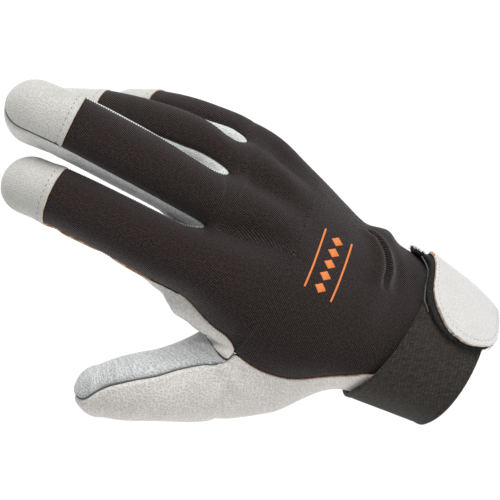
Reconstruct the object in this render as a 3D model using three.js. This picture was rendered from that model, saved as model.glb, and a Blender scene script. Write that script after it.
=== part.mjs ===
// A right-hand work glove with an open, worn form: leather palm, thumb and fingertip caps, a stretch
// knit back, leather strips between the fingers, and an elastic wrist strap with a closing tab.
// Millimetres. The origin is the middle of the wrist opening, -X runs to the fingertips, -Y is the
// thumb side and +Z the back of the hand.
import * as THREE from 'three';

// Driving sizes.
const WALL = 1.3;            // leather and knit thickness
const SEAM_GAP = 0.32;       // open line between two sewn pieces
const CUFF_START = 4;        // the glove's own edge, hidden inside the strap
const STRAP_WALL = 1.7;
const STRAP_LIFT = 0.5;      // the strap lies this far outside the cuff
const TAB_WALL = 1.5;
const PAD_WALL = 1.4;
const WEB_FOLD = 6;          // the web's leather stands out beside the index finger
const WEB_SHIFT = 0.24;      // the top of the thumb's fork lies this much nearer the thumb
const WEB_REACH = 0.4;       // down to this share of the fork's depth
const CUFF_SLIT = 4;         // degrees, half the slit at the cuff's little-finger edge
const OPENING_SHIFT = 2.6;   // brings the middle of the wrist opening to the origin
const THUMB_PALM_SEAM = -168; // degrees round the thumb from its upper seam, outer way
const DEG = Math.PI / 180;

// The palm without its fingers, one row per cross-section: distance u from the opening, middle of
// the section (y, z), half width, height of the back, depth of the palm, sideways roll in degrees.
const HAND = table(
  ['u', 'y', 'z', 'half', 'back', 'palm', 'roll'], [
    [0, -2.6, 0, 25.4, 17.2, 18.0, 0],
    [16, -2.2, 0, 28.6, 19.2, 20.0, 0],
    [33, -1.9, 0.5, 32.2, 21.0, 22.0, 0],
    [43, -2.6, 0.6, 33.0, 20.6, 22.3, 0],
    [50, -1.4, 0.8, 34.8, 20.2, 22.5, -1],
    [60, -2.9, 1.2, 33.9, 19.4, 22.2, -1],
    [71, -1.5, 1.5, 35.5, 18.5, 21.5, -2],
    [91, 2.8, 1.5, 39.2, 17.2, 19.5, -4],
    [108, 5.0, 1, 42.0, 17.0, 18.0, -5],
    [136, 7.5, -3, 43.0, 15.0, 16.0, -8],
  ]);

// Each finger, one row per joint and between: u, middle line (x, y, z), half width, height of the
// back, depth of the palm side. The last row is the middle of the rounded tip.
const COLUMNS = ['u', 'x', 'y', 'z', 'half', 'back', 'palm'];
const FINGERS = {
  index: table(COLUMNS, [
    [56, -56, -13, 1, 12.0, 15, 16],
    [86, -86, -20, 1, 12.5, 15, 16],
    [108, -108, -25.2, 0.8, 12.6, 14.5, 14],
    [129, -129, -24.6, -3.4, 12.4, 12.2, 12.8],
    [150.5, -149.6, -23.2, -8.2, 12.0, 11.2, 12.0],
    [175, -172.4, -20.6, -17.0, 11.8, 10.6, 11.2],
    [189.3, -184.4, -19.0, -24.0, 11.8, 10.6, 10.8]]),
  middle: table(COLUMNS, [
    [56, -56, -1, 2, 11.5, 16, 16],
    [86, -86, -1, 4, 12.0, 15.5, 16],
    [111.7, -111.7, -1.0, 4.8, 12.2, 14.5, 14],
    [134, -134, 0.4, 3.2, 12.0, 12.4, 14.0],
    [157.2, -156.9, 1.8, 0.0, 12.5, 11.6, 16.4],
    [185.3, -184.1, 3.4, -6.2, 12.5, 11.2, 17.6],
    [200.8, -198.2, 4.2, -12.2, 12.4, 11.0, 17.0]]),
  ring: table(COLUMNS, [
    [56, -56, 8, 1, 10.5, 15, 16],
    [86, -86, 15.5, 1.5, 11.0, 14.5, 16],
    [107.9, -107.9, 21.0, 2.2, 10.6, 13.2, 14],
    [124, -124, 22.0, -0.9, 9.4, 11.4, 12.8],
    [137, -136.7, 24.4, -3.9, 10.9, 11.5, 12.1],
    [150.7, -149.3, 25.0, -8.6, 10.8, 11.0, 11.6],
    [177.7, -170.5, 26.0, -24.4, 10.8, 10.4, 11.0],
    [195.3, -182.0, 26.4, -37.6, 10.6, 10.0, 10.6]]),
  little: table(COLUMNS, [
    [56, -56, 16, -2, 10.0, 14, 15],
    [86, -86, 28.5, -3.4, 10.5, 13.5, 14.5],
    [104, -104, 36.8, -5.6, 10.8, 12.5, 13],
    [120, -119.6, 41.0, -11.2, 10.6, 11.4, 12.0],
    [138, -134.8, 43.9, -19.2, 10.2, 10.4, 11.0],
    [157.5, -148.0, 46.8, -32.6, 9.8, 9.8, 10.4],
    [170.1, -154.5, 48.7, -42.7, 9.6, 9.4, 9.8]]),
  thumb: table(COLUMNS, [
    [34, -36, -18, -10, 15.0, 15.0, 15.0],
    [56, -58, -34, -17.5, 16.0, 16.5, 16.5],
    [80, -80, -50.0, -23.0, 16.7, 16.6, 16.6],
    [96, -93.4, -57.8, -25.6, 15.2, 15.2, 15.2],
    [111.5, -106.3, -65.3, -28.9, 13.8, 13.8, 13.8],
    [122, -115.4, -70.6, -33.4, 12.4, 12.4, 12.4],
    [130.4, -121.8, -74.1, -37.2, 10.3, 10.3, 10.3]]),
};
const RAYS = ['index', 'middle', 'ring', 'little'];
const CAP_START = { index: 177.5, middle: 184.5, ring: 176, little: 156 };
// The way each finger's back faces, and for the thumb the way its upper seam faces.
const FACING = {
  index: new THREE.Vector3(0, -0.12, 1),
  middle: new THREE.Vector3(0, -0.1, 1),
  ring: new THREE.Vector3(0, 0.15, 1),
  little: new THREE.Vector3(0, 0.35, 1),
  thumb: new THREE.Vector3(-0.28, -0.51, 0.81),
};

// Where each finger leaves the palm, per neighbouring pair: u of the fork on the back, half way
// down and on the palm side, and how long its rounding is on the back and on the palm side.
const FORKS = {
  thumb_index: { back: 88, middle: 97, palm: 86, roundBack: 30, roundPalm: 22 },
  index_middle: { back: 122, middle: 129, palm: 134, roundBack: 9, roundPalm: 8 },
  middle_ring: { back: 122, middle: 128, palm: 133, roundBack: 8, roundPalm: 8 },
  ring_little: { back: 117, middle: 121, palm: 124, roundBack: 6, roundPalm: 8 },
};
// Degrees that the first and second finger's upper seams keep back from their fork.
const FORK_WIDTH = { index_middle: [0, 4], middle_ring: [0, 6], ring_little: [3, 9] };
const THUMB_ROUND = 0.5;     // the thumb's own side leaves its fork in a tighter round
const SPLIT = { index_middle: -0.28, middle_ring: 0.21, ring_little: 0.62 };  // share of half width
const SEAM_PALM = 125;       // degrees from the back of a finger to its lower seams
const SEAM_EDGE = 118;       // the one seam on the hand's two outer edges
// Degrees from the back of each finger to its upper seam, on the thumb side and on the other side.
const UPPER_SEAM = {
  index: [SEAM_EDGE, 62], middle: [76, 60], ring: [56, 58], little: [42, SEAM_EDGE],
};
// Degrees to which both upper seams draw together at the fingertip.
const TIP_SEAM = { index: 90, middle: 71, ring: 90, little: 90 };
const WRAP_ANGLE = -150;     // where the palm's thumb-side wrap begins, under the index finger

// The edge of the knit on the thumb side, degrees round the palm section, and on the other side.
const KNIT_EDGE = table(['u', 'thumbSide', 'otherSide'], [
  [0, -62, 104], [34, -63, 106], [50, -84, 108], [66, -100, 108], [81, -102, 108], [101, -103, 110],
  [121, -110, 114], [136, -118, 118]]);
// The thumb's upper seam, degrees round the thumb from the way it faces.
const THUMB_SEAM = table(['u', 'turn'], [
  [46, -30], [62, -34], [76, -24], [87, 4], [94, 25], [102, 29], [112, 19], [121, 15.5], [128, 11],
  [133, 0], [138, -18], [142, -22]]);

// Small mathematics.
function table(columns, rows) {
  const at = {};
  columns.forEach((name, c) => { at[name] = (u) => smoothRow(rows, c, u); });
  at.first = rows[0][0];
  at.last = rows[rows.length - 1][0];
  return at;
}

// Smooth curve through the rows of one column (cubic, slopes from the neighbouring rows).
function smoothRow(rows, c, u) {
  const n = rows.length;
  const slope = (i) => {
    const lo = rows[Math.max(i - 1, 0)];
    const hi = rows[Math.min(i + 1, n - 1)];
    return (hi[c] - lo[c]) / (hi[0] - lo[0]);
  };
  if (u <= rows[0][0]) return rows[0][c] + slope(0) * (u - rows[0][0]);
  if (u >= rows[n - 1][0]) return rows[n - 1][c] + slope(n - 1) * (u - rows[n - 1][0]);
  let i = 0;
  while (u > rows[i + 1][0]) i += 1;
  const step = rows[i + 1][0] - rows[i][0];
  const t = (u - rows[i][0]) / step;
  const rise = rows[i + 1][c] - rows[i][c];
  const s0 = slope(i) * step;
  const s1 = slope(i + 1) * step;
  return rows[i][c] + t * s0 + t * t * (3 * rise - 2 * s0 - s1) + t * t * t * (s0 + s1 - 2 * rise);
}

function ease(lo, hi, u) {
  const t = Math.min(Math.max((u - lo) / (hi - lo), 0), 1);
  return t * t * (3 - 2 * t);
}

function mix(p, q, t) {
  return p.clone().lerp(q, t);
}

// The two kinds of cross-section.
// Palm: a slightly squared oval. turn is in degrees from the back, positive to the little finger.
function palmPoint(u, turn, inset) {
  const power = 2 / 2.3;
  const s = Math.sin(turn * DEG);
  const c = Math.cos(turn * DEG);
  const across = (HAND.half(u) - inset) * Math.sign(s) * Math.abs(s) ** power;
  const height = ((c > 0 ? HAND.back(u) : HAND.palm(u)) - inset) * Math.sign(c) * Math.abs(c) ** power;
  const roll = HAND.roll(u) * DEG;
  return new THREE.Vector3(
    -u,
    HAND.y(u) + across * Math.cos(roll) - height * Math.sin(roll),
    HAND.z(u) + across * Math.sin(roll) + height * Math.cos(roll));
}

// Turn, in degrees, at which the palm section reaches a share of its half width.
function turnAt(share) {
  return Math.asin(Math.sign(share) * Math.abs(share) ** 1.15) / DEG;
}

// Finger: an oval across the middle line, drawn in to a dome at the tip.
function fingerPoint(name, u, turn, inset) {
  const row = FINGERS[name];
  const tip = row.last;
  const reach = row.half(tip) * 0.98 - inset;
  const into = Math.min(Math.max((u - tip) / (row.half(tip) * 0.98), 0), 1);
  const dome = Math.sqrt(Math.max(1 - into * into, 0));
  const uc = Math.min(u, tip);
  const step = 0.5;
  const middle = new THREE.Vector3(row.x(uc), row.y(uc), row.z(uc));
  const ahead = new THREE.Vector3(row.x(uc + step), row.y(uc + step), row.z(uc + step));
  const behind = new THREE.Vector3(row.x(uc - step), row.y(uc - step), row.z(uc - step));
  const along = ahead.sub(behind).normalize();
  const face = FACING[name];
  const up = face.clone().addScaledVector(along, -face.dot(along)).normalize();
  const side = new THREE.Vector3().crossVectors(along, up);
  middle.addScaledVector(along, into * reach);
  const s = Math.sin(turn * DEG);
  const c = Math.cos(turn * DEG);
  const across = (row.half(uc) - inset) * dome * s;
  const height = ((c > 0 ? row.back(uc) : row.palm(uc)) - inset) * dome * c;
  return middle.addScaledVector(side, across).addScaledVector(up, height);
}

function fingerEnd(name) {
  return FINGERS[name].last + FINGERS[name].half(FINGERS[name].last) * 0.98;
}

// How much of a point comes from the finger and how much from the palm.
function share(name, u) {
  return name === 'thumb' ? ease(30, 66, u) : ease(80, 132, u);
}

function blend(name, u, palmTurn, fingerTurn, inset) {
  const t = share(name, u);
  if (t >= 1) return fingerPoint(name, u, fingerTurn, inset);
  const onPalm = palmPoint(u, palmTurn, inset);
  if (t <= 0) return onPalm;
  return mix(onPalm, fingerPoint(name, u, fingerTurn, inset), t);
}

// The upper and lower seams draw together round the fingertip.
function seamTurn(name, u, along) {
  const t = ease(FINGERS[name].last - 16, FINGERS[name].last + 2, u);
  return along + (TIP_SEAM[name] - along) * t;
}

// Forks between neighbours.
// Inner side of one neighbour at depth q (0 on the back, 1 on the palm side).
function innerSide(fork, name, u, q, inset) {
  if (fork === 'thumb_index') {
    const edge = KNIT_EDGE.thumbSide(u);
    const palmTurn = edge + q * (WRAP_ANGLE - edge);
    if (name === 'thumb') {
      const seam = THUMB_SEAM.turn(u);
      return blend('thumb', u, palmTurn, seam + q * (360 + THUMB_PALM_SEAM - seam), inset);
    }
    const seam = -seamTurn('index', u, SEAM_EDGE);
    return blend('index', u, palmTurn, seam + q * (WRAP_ANGLE - seam), inset);
  }
  const sign = fork.startsWith(name) ? 1 : -1;
  const turn = turnAt(SPLIT[fork]);
  const back = FORK_WIDTH[fork][sign < 0 ? 1 : 0] * Math.exp(-(((u - FORKS[fork].back - 2) / 10) ** 2));
  const upper = seamTurn(name, u, UPPER_SEAM[name][sign < 0 ? 0 : 1]) - back;
  const lower = seamTurn(name, u, SEAM_PALM);
  const fingerTurn = sign * (upper + q * (lower - upper));
  const t = share(name, u);
  const onFinger = fingerPoint(name, u, fingerTurn, inset);
  if (t >= 1) return onFinger;
  const top = palmPoint(u, turn, inset);
  const bottom = palmPoint(u, 180 - turn, inset);
  return mix(mix(top, bottom, q), onFinger, t);
}

function forkStart(fork, q) {
  const f = FORKS[fork];
  return f.back * (1 - q) * (1 - 2 * q) + f.middle * 4 * q * (1 - q) + f.palm * q * (2 * q - 1);
}

// Distance u that a row of the back takes at depth q, so that both sides of a fork share their rows.
function rowAt(fork, row, q) {
  const back = FORKS[fork].back;
  const near = row < back ? ease(back - 60, back, row) : 1 - ease(back, back + 40, row);
  return row + (forkStart(fork, q) - back) * near;
}

// Side of one neighbour with the fork closed behind its start and rounded just ahead of it.
function forkSide(fork, name, u, q, inset) {
  const [first, second] = fork.split('_');
  const own = innerSide(fork, name, u, q, inset);
  const f = FORKS[fork];
  const tight = name === 'thumb' ? THUMB_ROUND : 1;
  const length = (f.roundBack + q * (f.roundPalm - f.roundBack)) * tight;
  const t = (u - forkStart(fork, q)) / length;
  if (t >= 1) return own;
  const other = innerSide(fork, name === first ? second : first, u, q, inset);
  const low = Math.sqrt(Math.min(q / WEB_REACH, 1));
  const shift = fork === 'thumb_index' ? WEB_SHIFT * Math.sin(Math.PI * low) : 0;
  const half = mix(own, other, name === 'thumb' ? 0.5 - shift : 0.5 + shift);
  if (t <= 0) return half;
  const round = Math.sqrt(t * (2 - t));
  if (fork !== 'thumb_index' || name !== 'index') return mix(half, own, round);
  const quick = 0.55 - 0.25 * Math.min(q * 2, 1);   // the web swells out before it meets the index
  return mix(half, own, quick * round + (1 - quick) * ease(0.3, 1, t));
}

// The surfaces of the back and of the palm, v runs across one finger's width.
function drawn(point, from, to, v, startFix, endFix, power = 2) {
  const out = point.clone();
  out.addScaledVector(startFix.clone().sub(from), (1 - v) ** power);
  if (endFix) out.addScaledVector(endFix.clone().sub(to), v ** power);
  return out;
}

function forkBeside(name, sign) {
  const at = ['thumb', ...RAYS].indexOf(name);
  const pair = sign < 0 ? ['thumb', ...RAYS].slice(at - 1, at + 1) : ['thumb', ...RAYS].slice(at, at + 2);
  return pair.length === 2 ? pair.join('_') : null;
}

// Half the opening of the cuff's slit at u, in degrees.
function slit(u) {
  return CUFF_SLIT * (1 - ease(46, 62, u));
}

function backSurface(name, u, v, inset) {
  const palmFrom = name === 'index' ? KNIT_EDGE.thumbSide(u) : turnAt(SPLIT[forkBeside(name, -1)]);
  const beyond = name === 'little' ? null : forkBeside(name, 1);
  const palmTo = beyond ? turnAt(SPLIT[beyond]) : KNIT_EDGE.otherSide(u) - slit(u);
  const from = -seamTurn(name, u, UPPER_SEAM[name][0]);
  const to = seamTurn(name, u, UPPER_SEAM[name][1]);
  const at = (w) => blend(name, u, palmFrom + w * (palmTo - palmFrom), from + w * (to - from), inset);
  const startFix = forkSide(forkBeside(name, -1), name, u, 0, inset);
  const endFix = beyond && forkSide(beyond, name, u, 0, inset);
  return drawn(at(v), at(0), at(1), v, startFix, endFix);
}

function palmSurface(name, row, v, inset) {
  const before = forkBeside(name, -1);
  const beyond = name === 'little' ? null : forkBeside(name, 1);
  const first = rowAt(before, row, 1);
  const last = beyond ? rowAt(beyond, row, 1) : row;
  const at = (w) => {
    const u = first + w * (last - first);
    const wrap = 360 + WRAP_ANGLE;
    const palmFrom = name === 'index' ? wrap : 180 - turnAt(SPLIT[before]);
    const palmTo = beyond ? 180 - turnAt(SPLIT[beyond]) : KNIT_EDGE.otherSide(u) + slit(u);
    const from = name === 'index' ? wrap : 360 - seamTurn(name, u, SEAM_PALM);
    const to = seamTurn(name, u, name === 'little' ? SEAM_EDGE : SEAM_PALM);
    return blend(name, u, palmFrom + w * (palmTo - palmFrom), from + w * (to - from), inset);
  };
  const startFix = forkSide(before, name, first, 1, inset);
  const endFix = beyond && forkSide(beyond, name, last, 1, inset);
  return drawn(at(v), at(0), at(1), v, startFix, endFix);
}

// From a surface to a sewn piece of even thickness.
function patch(rows, columns, point, flip) {
  const outer = [];
  const inner = [];
  const faces = [];
  rows.forEach((row) => columns.forEach((v) => {
    outer.push(point(row, v, 0));
    inner.push(point(row, v, 1));
  }));
  const wide = columns.length;
  for (let r = 0; r < rows.length - 1; r += 1) {
    for (let k = 0; k < wide - 1; k += 1) {
      const a = r * wide + k;
      const quad = [[a, a + 1, a + wide + 1], [a, a + wide + 1, a + wide]];
      quad.forEach((t) => faces.push(flip ? [t[0], t[2], t[1]] : t));
    }
  }
  return { outer, inner, faces };
}

// Joins patches that share edges, draws the open edges in by half a seam gap, and closes them.
function thick(patches, trim = SEAM_GAP / 2) {
  const keys = new Map();
  const outer = [];
  const inner = [];
  const faces = [];
  patches.forEach((p) => {
    const place = p.outer.map((point, i) => {
      const key = point.toArray().map((x) => Math.round(x * 400)).join(' ');
      if (!keys.has(key)) {
        keys.set(key, outer.length);
        outer.push(point.clone());
        inner.push(p.inner[i].clone());
      }
      return keys.get(key);
    });
    p.faces.forEach((t) => {
      const f = t.map((i) => place[i]);
      if (f[0] !== f[1] && f[1] !== f[2] && f[2] !== f[0]) faces.push(f);
    });
  });
  const used = new Set();
  faces.forEach((f) => f.forEach((a, i) => used.add(`${a} ${f[(i + 1) % 3]}`)));
  const border = [];
  faces.forEach((f) => f.forEach((a, i) => {
    const b = f[(i + 1) % 3];
    if (!used.has(`${b} ${a}`)) border.push([a, b, f[(i + 2) % 3]]);
  }));
  drawIn(outer, border, trim);
  drawIn(inner, border, trim);
  const count = outer.length;
  const index = [];
  faces.forEach((f) => index.push(f[0], f[1], f[2], count + f[0], count + f[2], count + f[1]));
  border.forEach(([a, b]) => index.push(b, a, count + a, b, count + a, count + b));
  const geometry = new THREE.BufferGeometry();
  const flat = [...outer, ...inner].flatMap((p) => p.toArray());
  geometry.setAttribute('position', new THREE.Float32BufferAttribute(flat, 3));
  geometry.setIndex(index);
  geometry.computeVertexNormals();
  return geometry;
}

function drawIn(points, border, amount) {
  const pull = new Map();
  border.forEach(([a, b, c]) => {
    const edge = points[b].clone().sub(points[a]);
    const inward = points[c].clone().sub(points[a]);
    if (edge.lengthSq() < 1e-9) return;
    edge.normalize();
    inward.addScaledVector(edge, -inward.dot(edge));
    if (inward.lengthSq() < 1e-9) return;
    inward.normalize();
    [a, b].forEach((i) => {
      if (!pull.has(i)) pull.set(i, []);
      pull.get(i).push(inward);
    });
  });
  pull.forEach((ways, i) => {
    const sum = ways.reduce((total, way) => total.add(way), new THREE.Vector3());
    const square = Math.max(sum.lengthSq(), 0.6);
    points[i].addScaledVector(sum, amount * ways.length / square);
  });
}

function piece(name, geometry, colour, roughness) {
  geometry.translate(0, OPENING_SHIFT, 0);
  const look = new THREE.MeshStandardMaterial({ color: colour, roughness, metalness: 0 });
  const mesh = new THREE.Mesh(geometry, look);
  mesh.name = name;
  return mesh;
}

function even(from, to, steps) {
  return Array.from({ length: steps + 1 }, (_, i) => from + ((to - from) * i) / steps);
}

// Rows of sections along one finger, closer together where a fork opens.
const CUFF_ROWS = [CUFF_START, 14, 24, 34, 41, 49, 58, 67, 76];
const ACROSS = even(0, 1, 5);
const WEB_DEPTH = even(0, 1, 5);
const GUSSET_DEPTH = even(0, 1, 3);

function rowsFrom(start, to, step) {
  return even(start, to, Math.max(Math.round((to - start) / step), 1));
}

function opening(fork) {
  return [0, 0.8, 3, 7.5].map((step) => FORKS[fork].back + step);
}

function gussetEnd(name) {
  return FINGERS[name].last - 2;
}

function fingerRows(name) {
  const tip = FINGERS[name].last;
  const dome = even(18, 90, 4).map((a) => tip + (fingerEnd(name) - tip) * Math.sin(a * DEG));
  const hand = [...CUFF_ROWS, ...opening('thumb_index')];
  if (name === 'thumb') return [...hand, ...rowsFrom(102, gussetEnd(name), 8), ...dome];
  const cap = [...rowsFrom(CAP_START[name], gussetEnd(name), 8), ...dome];
  hand.push(102, 108.5, ...opening('ring_little'));
  if (name === 'little') return [...hand, ...rowsFrom(130, CAP_START[name], 9), ...cap.slice(1)];
  hand.splice(-1, 1, ...opening('index_middle'));
  return [...hand, ...rowsFrom(138, CAP_START[name], 9), ...cap.slice(1)];
}

function rowsBetween(name, from, to) {
  return fingerRows(name).filter((row) => row > from - 1e-6 && row < to + 1e-6);
}

// The pieces.
function backPanel() {
  const layer = (name) => (row, v, inside) => backSurface(name, row, v, inside * WALL);
  const parts = RAYS.map((name) => (
    patch(rowsBetween(name, 0, CAP_START[name]), ACROSS, layer(name), false)));
  return piece('back_panel', thick(parts), '#3b3436', 0.85);
}

function fingertipCap(name) {
  const rows = rowsBetween(name, CAP_START[name], fingerEnd(name));
  const skin = patch(rows, ACROSS, (row, v, inside) => backSurface(name, row, v, inside * WALL), false);
  return piece(`${name}_fingertip_cap`, thick([skin]), '#c8c7c1', 0.6);
}

function palmPanel() {
  const parts = RAYS.map((name) => (
    patch(fingerRows(name), ACROSS, (row, v, inside) => palmSurface(name, row, v, inside * WALL), true)));
  const wrap = (row, q, inside) => {
    const u = rowAt('thumb_index', row, q);
    const fold = WEB_FOLD * Math.sin(Math.PI * q) * ease(106, 118, u) * (1 - ease(122, 140, u));
    return forkSide('thumb_index', 'index', u, q, inside * WALL).add(new THREE.Vector3(0, -fold, 0));
  };
  const rows = rowsBetween('index', FORKS.thumb_index.back, fingerEnd('index'));
  parts.push(patch(rows, WEB_DEPTH, wrap, true));
  return piece('palm_panel', thick(parts), '#e1dedb', 0.6);
}

function gusset(fork) {
  const side = (name, flip) => patch(
    rowsBetween(name, FORKS[fork].back, gussetEnd(name)), GUSSET_DEPTH,
    (row, q, inside) => forkSide(fork, name, rowAt(fork, row, q), q, inside * WALL), flip);
  const [first, second] = fork.split('_');
  return piece(`${fork}_gusset`, thick([side(first, false), side(second, true)]), '#d5d4d0', 0.65);
}

function thumbOuter() {
  const surface = (row, v, inside) => {
    const at = (w) => {
      const u = row + w * (rowAt('thumb_index', row, 1) - row);
      const edge = KNIT_EDGE.thumbSide(u);
      const seam = THUMB_SEAM.turn(u);
      return blend('thumb', u, edge + w * (WRAP_ANGLE - edge), seam + w * (THUMB_PALM_SEAM - seam),
        inside * WALL);
    };
    const startFix = forkSide('thumb_index', 'thumb', row, 0, inside * WALL);
    const endFix = forkSide('thumb_index', 'thumb', rowAt('thumb_index', row, 1), 1, inside * WALL);
    return drawn(at(v), at(0), at(1), v, startFix, endFix, 3.5);
  };
  const skin = patch(fingerRows('thumb'), even(0, 1, 9), surface, true);
  return piece('thumb_outer', thick([skin]), '#dedbd8', 0.6);
}

function thumbInner() {
  const surface = (row, q, inside) => (
    forkSide('thumb_index', 'thumb', rowAt('thumb_index', row, q), q, inside * WALL));
  const rows = rowsBetween('thumb', FORKS.thumb_index.back, fingerEnd('thumb'));
  return piece('thumb_inner', thick([patch(rows, WEB_DEPTH, surface, false)]), '#c3c8ca', 0.6);
}

// A band round the wrist between two distances u, from one turn to another, lift above the cuff.
function band(from, to, liftAt, wall, edges, uSteps, turnSteps, flip) {
  const surface = (turn, t, inside) => {
    const [low, high] = edges(turn);
    const u = low + t * (high - low);
    return palmPoint(u, turn, inside * wall - liftAt(turn, u) - wall);
  };
  return thick([patch(even(from, to, turnSteps), even(0, 1, uSteps), surface, flip)], 0);
}

// The elastic's inner edge round the wrist: it slants, and goes in under the tab from 30 to 112 degrees.
// The outer edge slants a little by the sine of the turn.
const STRAP_EDGE = table(['turn', 'inner'], [
  [-180, 34.3], [-135, 34], [-110, 34.8], [-90, 36.6], [-57, 35.6], [-25, 33.2], [3, 30.6],
  [30, 27.2], [60, 26], [112, 26.5], [150, 33], [180, 34.3]]);

function strapEdges(turn) {
  return [-2.5 - 2.5 * Math.sin(turn * DEG), STRAP_EDGE.inner(turn > 180 ? turn - 360 : turn)];
}

function wristStrap() {
  const ring = band(0, 360, () => STRAP_LIFT, STRAP_WALL, strapEdges, 2, 42, true);
  return piece('wrist_strap', ring, '#2f2e2d', 0.9);
}

const CROWN = { height: 3.2, low: -22, high: 26 };  // the tab stands up along its middle, round the side
const TAB = { start: 112, end: -2, near: -7, far: 30, draw: 4.5, round: 12, reach: 0 };
const PAD = { ...TAB, end: -5, near: -5.5, far: 32.5, draw: 4, reach: 9 };

// The tab narrows to a rounded end, so its edges follow a part ellipse over the last stretch. The pad
// under it reaches further towards the fingers on the hand's little-finger side.
function tabEdges(form, turn) {
  const into = Math.min(Math.max((form.end + form.round * 2 - turn) / (form.round * 2), 0), 1);
  const far = form.far + form.reach * ease(34, 50, turn) - form.draw * ease(60, 100, turn);
  const half = (far - form.near) / 2 * Math.sqrt(Math.max(1 - into ** 2.8, 0.02));
  const middle = (far + form.near) / 2;
  return [middle - half, middle + half];
}

function closingTab(name, form, lift, wall, colour) {
  const crowned = (turn, u) => {
    const place = Math.min(Math.max((u - CROWN.low) / (CROWN.high - CROWN.low), 0), 1);
    const along = Math.sin(Math.PI * place);
    return lift + CROWN.height * along * ease(25, 75, turn);
  };
  const part = band(form.start, form.end, crowned, wall, (turn) => tabEdges(form, turn), 4, 22, false);
  return piece(name, part, colour, 0.7);
}

const glove = new THREE.Group();
glove.add(backPanel(), palmPanel(), thumbOuter(), thumbInner());
RAYS.forEach((name) => glove.add(fingertipCap(name)));
['index_middle', 'middle_ring', 'ring_little'].forEach((fork) => glove.add(gusset(fork)));
const overStrap = STRAP_LIFT + STRAP_WALL + 0.35;
glove.add(wristStrap());
glove.add(closingTab('tab_hook_pad', PAD, overStrap, PAD_WALL, '#191817'));
glove.add(closingTab('strap_tab', TAB, overStrap + PAD_WALL + 0.35, TAB_WALL, '#dedddb'));

export default glove;
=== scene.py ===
import math

import bpy
import numpy as np
from mathutils import Matrix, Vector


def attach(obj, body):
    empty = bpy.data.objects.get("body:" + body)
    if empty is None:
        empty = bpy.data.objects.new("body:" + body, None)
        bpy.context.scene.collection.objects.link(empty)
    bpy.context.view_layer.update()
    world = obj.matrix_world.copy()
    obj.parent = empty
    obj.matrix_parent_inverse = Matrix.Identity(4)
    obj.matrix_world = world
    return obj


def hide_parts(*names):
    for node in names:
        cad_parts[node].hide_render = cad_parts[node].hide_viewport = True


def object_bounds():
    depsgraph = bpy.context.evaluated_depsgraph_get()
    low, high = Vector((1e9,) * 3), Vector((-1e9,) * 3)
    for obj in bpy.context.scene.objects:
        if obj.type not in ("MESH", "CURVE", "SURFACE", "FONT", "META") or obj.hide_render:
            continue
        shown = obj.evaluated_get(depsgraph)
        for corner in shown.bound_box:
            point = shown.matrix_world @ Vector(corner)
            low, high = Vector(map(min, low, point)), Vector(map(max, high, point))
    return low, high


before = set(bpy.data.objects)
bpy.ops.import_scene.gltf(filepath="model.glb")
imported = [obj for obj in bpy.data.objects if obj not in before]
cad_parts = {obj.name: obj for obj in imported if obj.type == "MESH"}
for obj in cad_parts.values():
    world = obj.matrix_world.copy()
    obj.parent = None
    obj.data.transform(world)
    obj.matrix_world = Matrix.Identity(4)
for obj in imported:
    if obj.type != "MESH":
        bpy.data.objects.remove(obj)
cad_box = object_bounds()


# The knit back. One piece of black stretch knit covers the back of the hand and the four fingers up to
# the caps. It is cut with a slot between the fingers and sewn all round to the leather, and its
# tables give the whole glove's form: sections across the palm and along each finger, in millimetres.
# u is the distance from the wrist opening towards the fingertips, which lie along -X.
def table(columns, rows):
    """A short table as a function of (column, u): a cubic through the rows, sloped by their neighbours."""
    grid = np.array(rows, float)
    at, last = grid[:, 0], len(rows) - 1
    behind = np.maximum(np.arange(last + 1) - 1, 0)
    ahead = np.minimum(np.arange(last + 1) + 1, last)
    slope = (grid[ahead] - grid[behind]) / (at[ahead] - at[behind])[:, None]

    def value(column, u):
        c = columns.index(column)
        u = np.asarray(u, float)
        i = np.clip(np.searchsorted(at, u) - 1, 0, last - 1)
        step = at[i + 1] - at[i]
        t = (u - at[i]) / step
        s = np.clip(t, 0, 1)
        rise = grid[i + 1, c] - grid[i, c]
        first, final = slope[i, c] * step, slope[i + 1, c] * step
        curve = s * first + s**2 * (3 * rise - 2 * first - final) + s**3 * (first + final - 2 * rise)
        beyond = np.where(t < 0, t * first, np.where(t > 1, (t - 1) * final, 0))
        return grid[i, c] + curve + beyond

    value.end = at[last]
    return value


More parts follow.
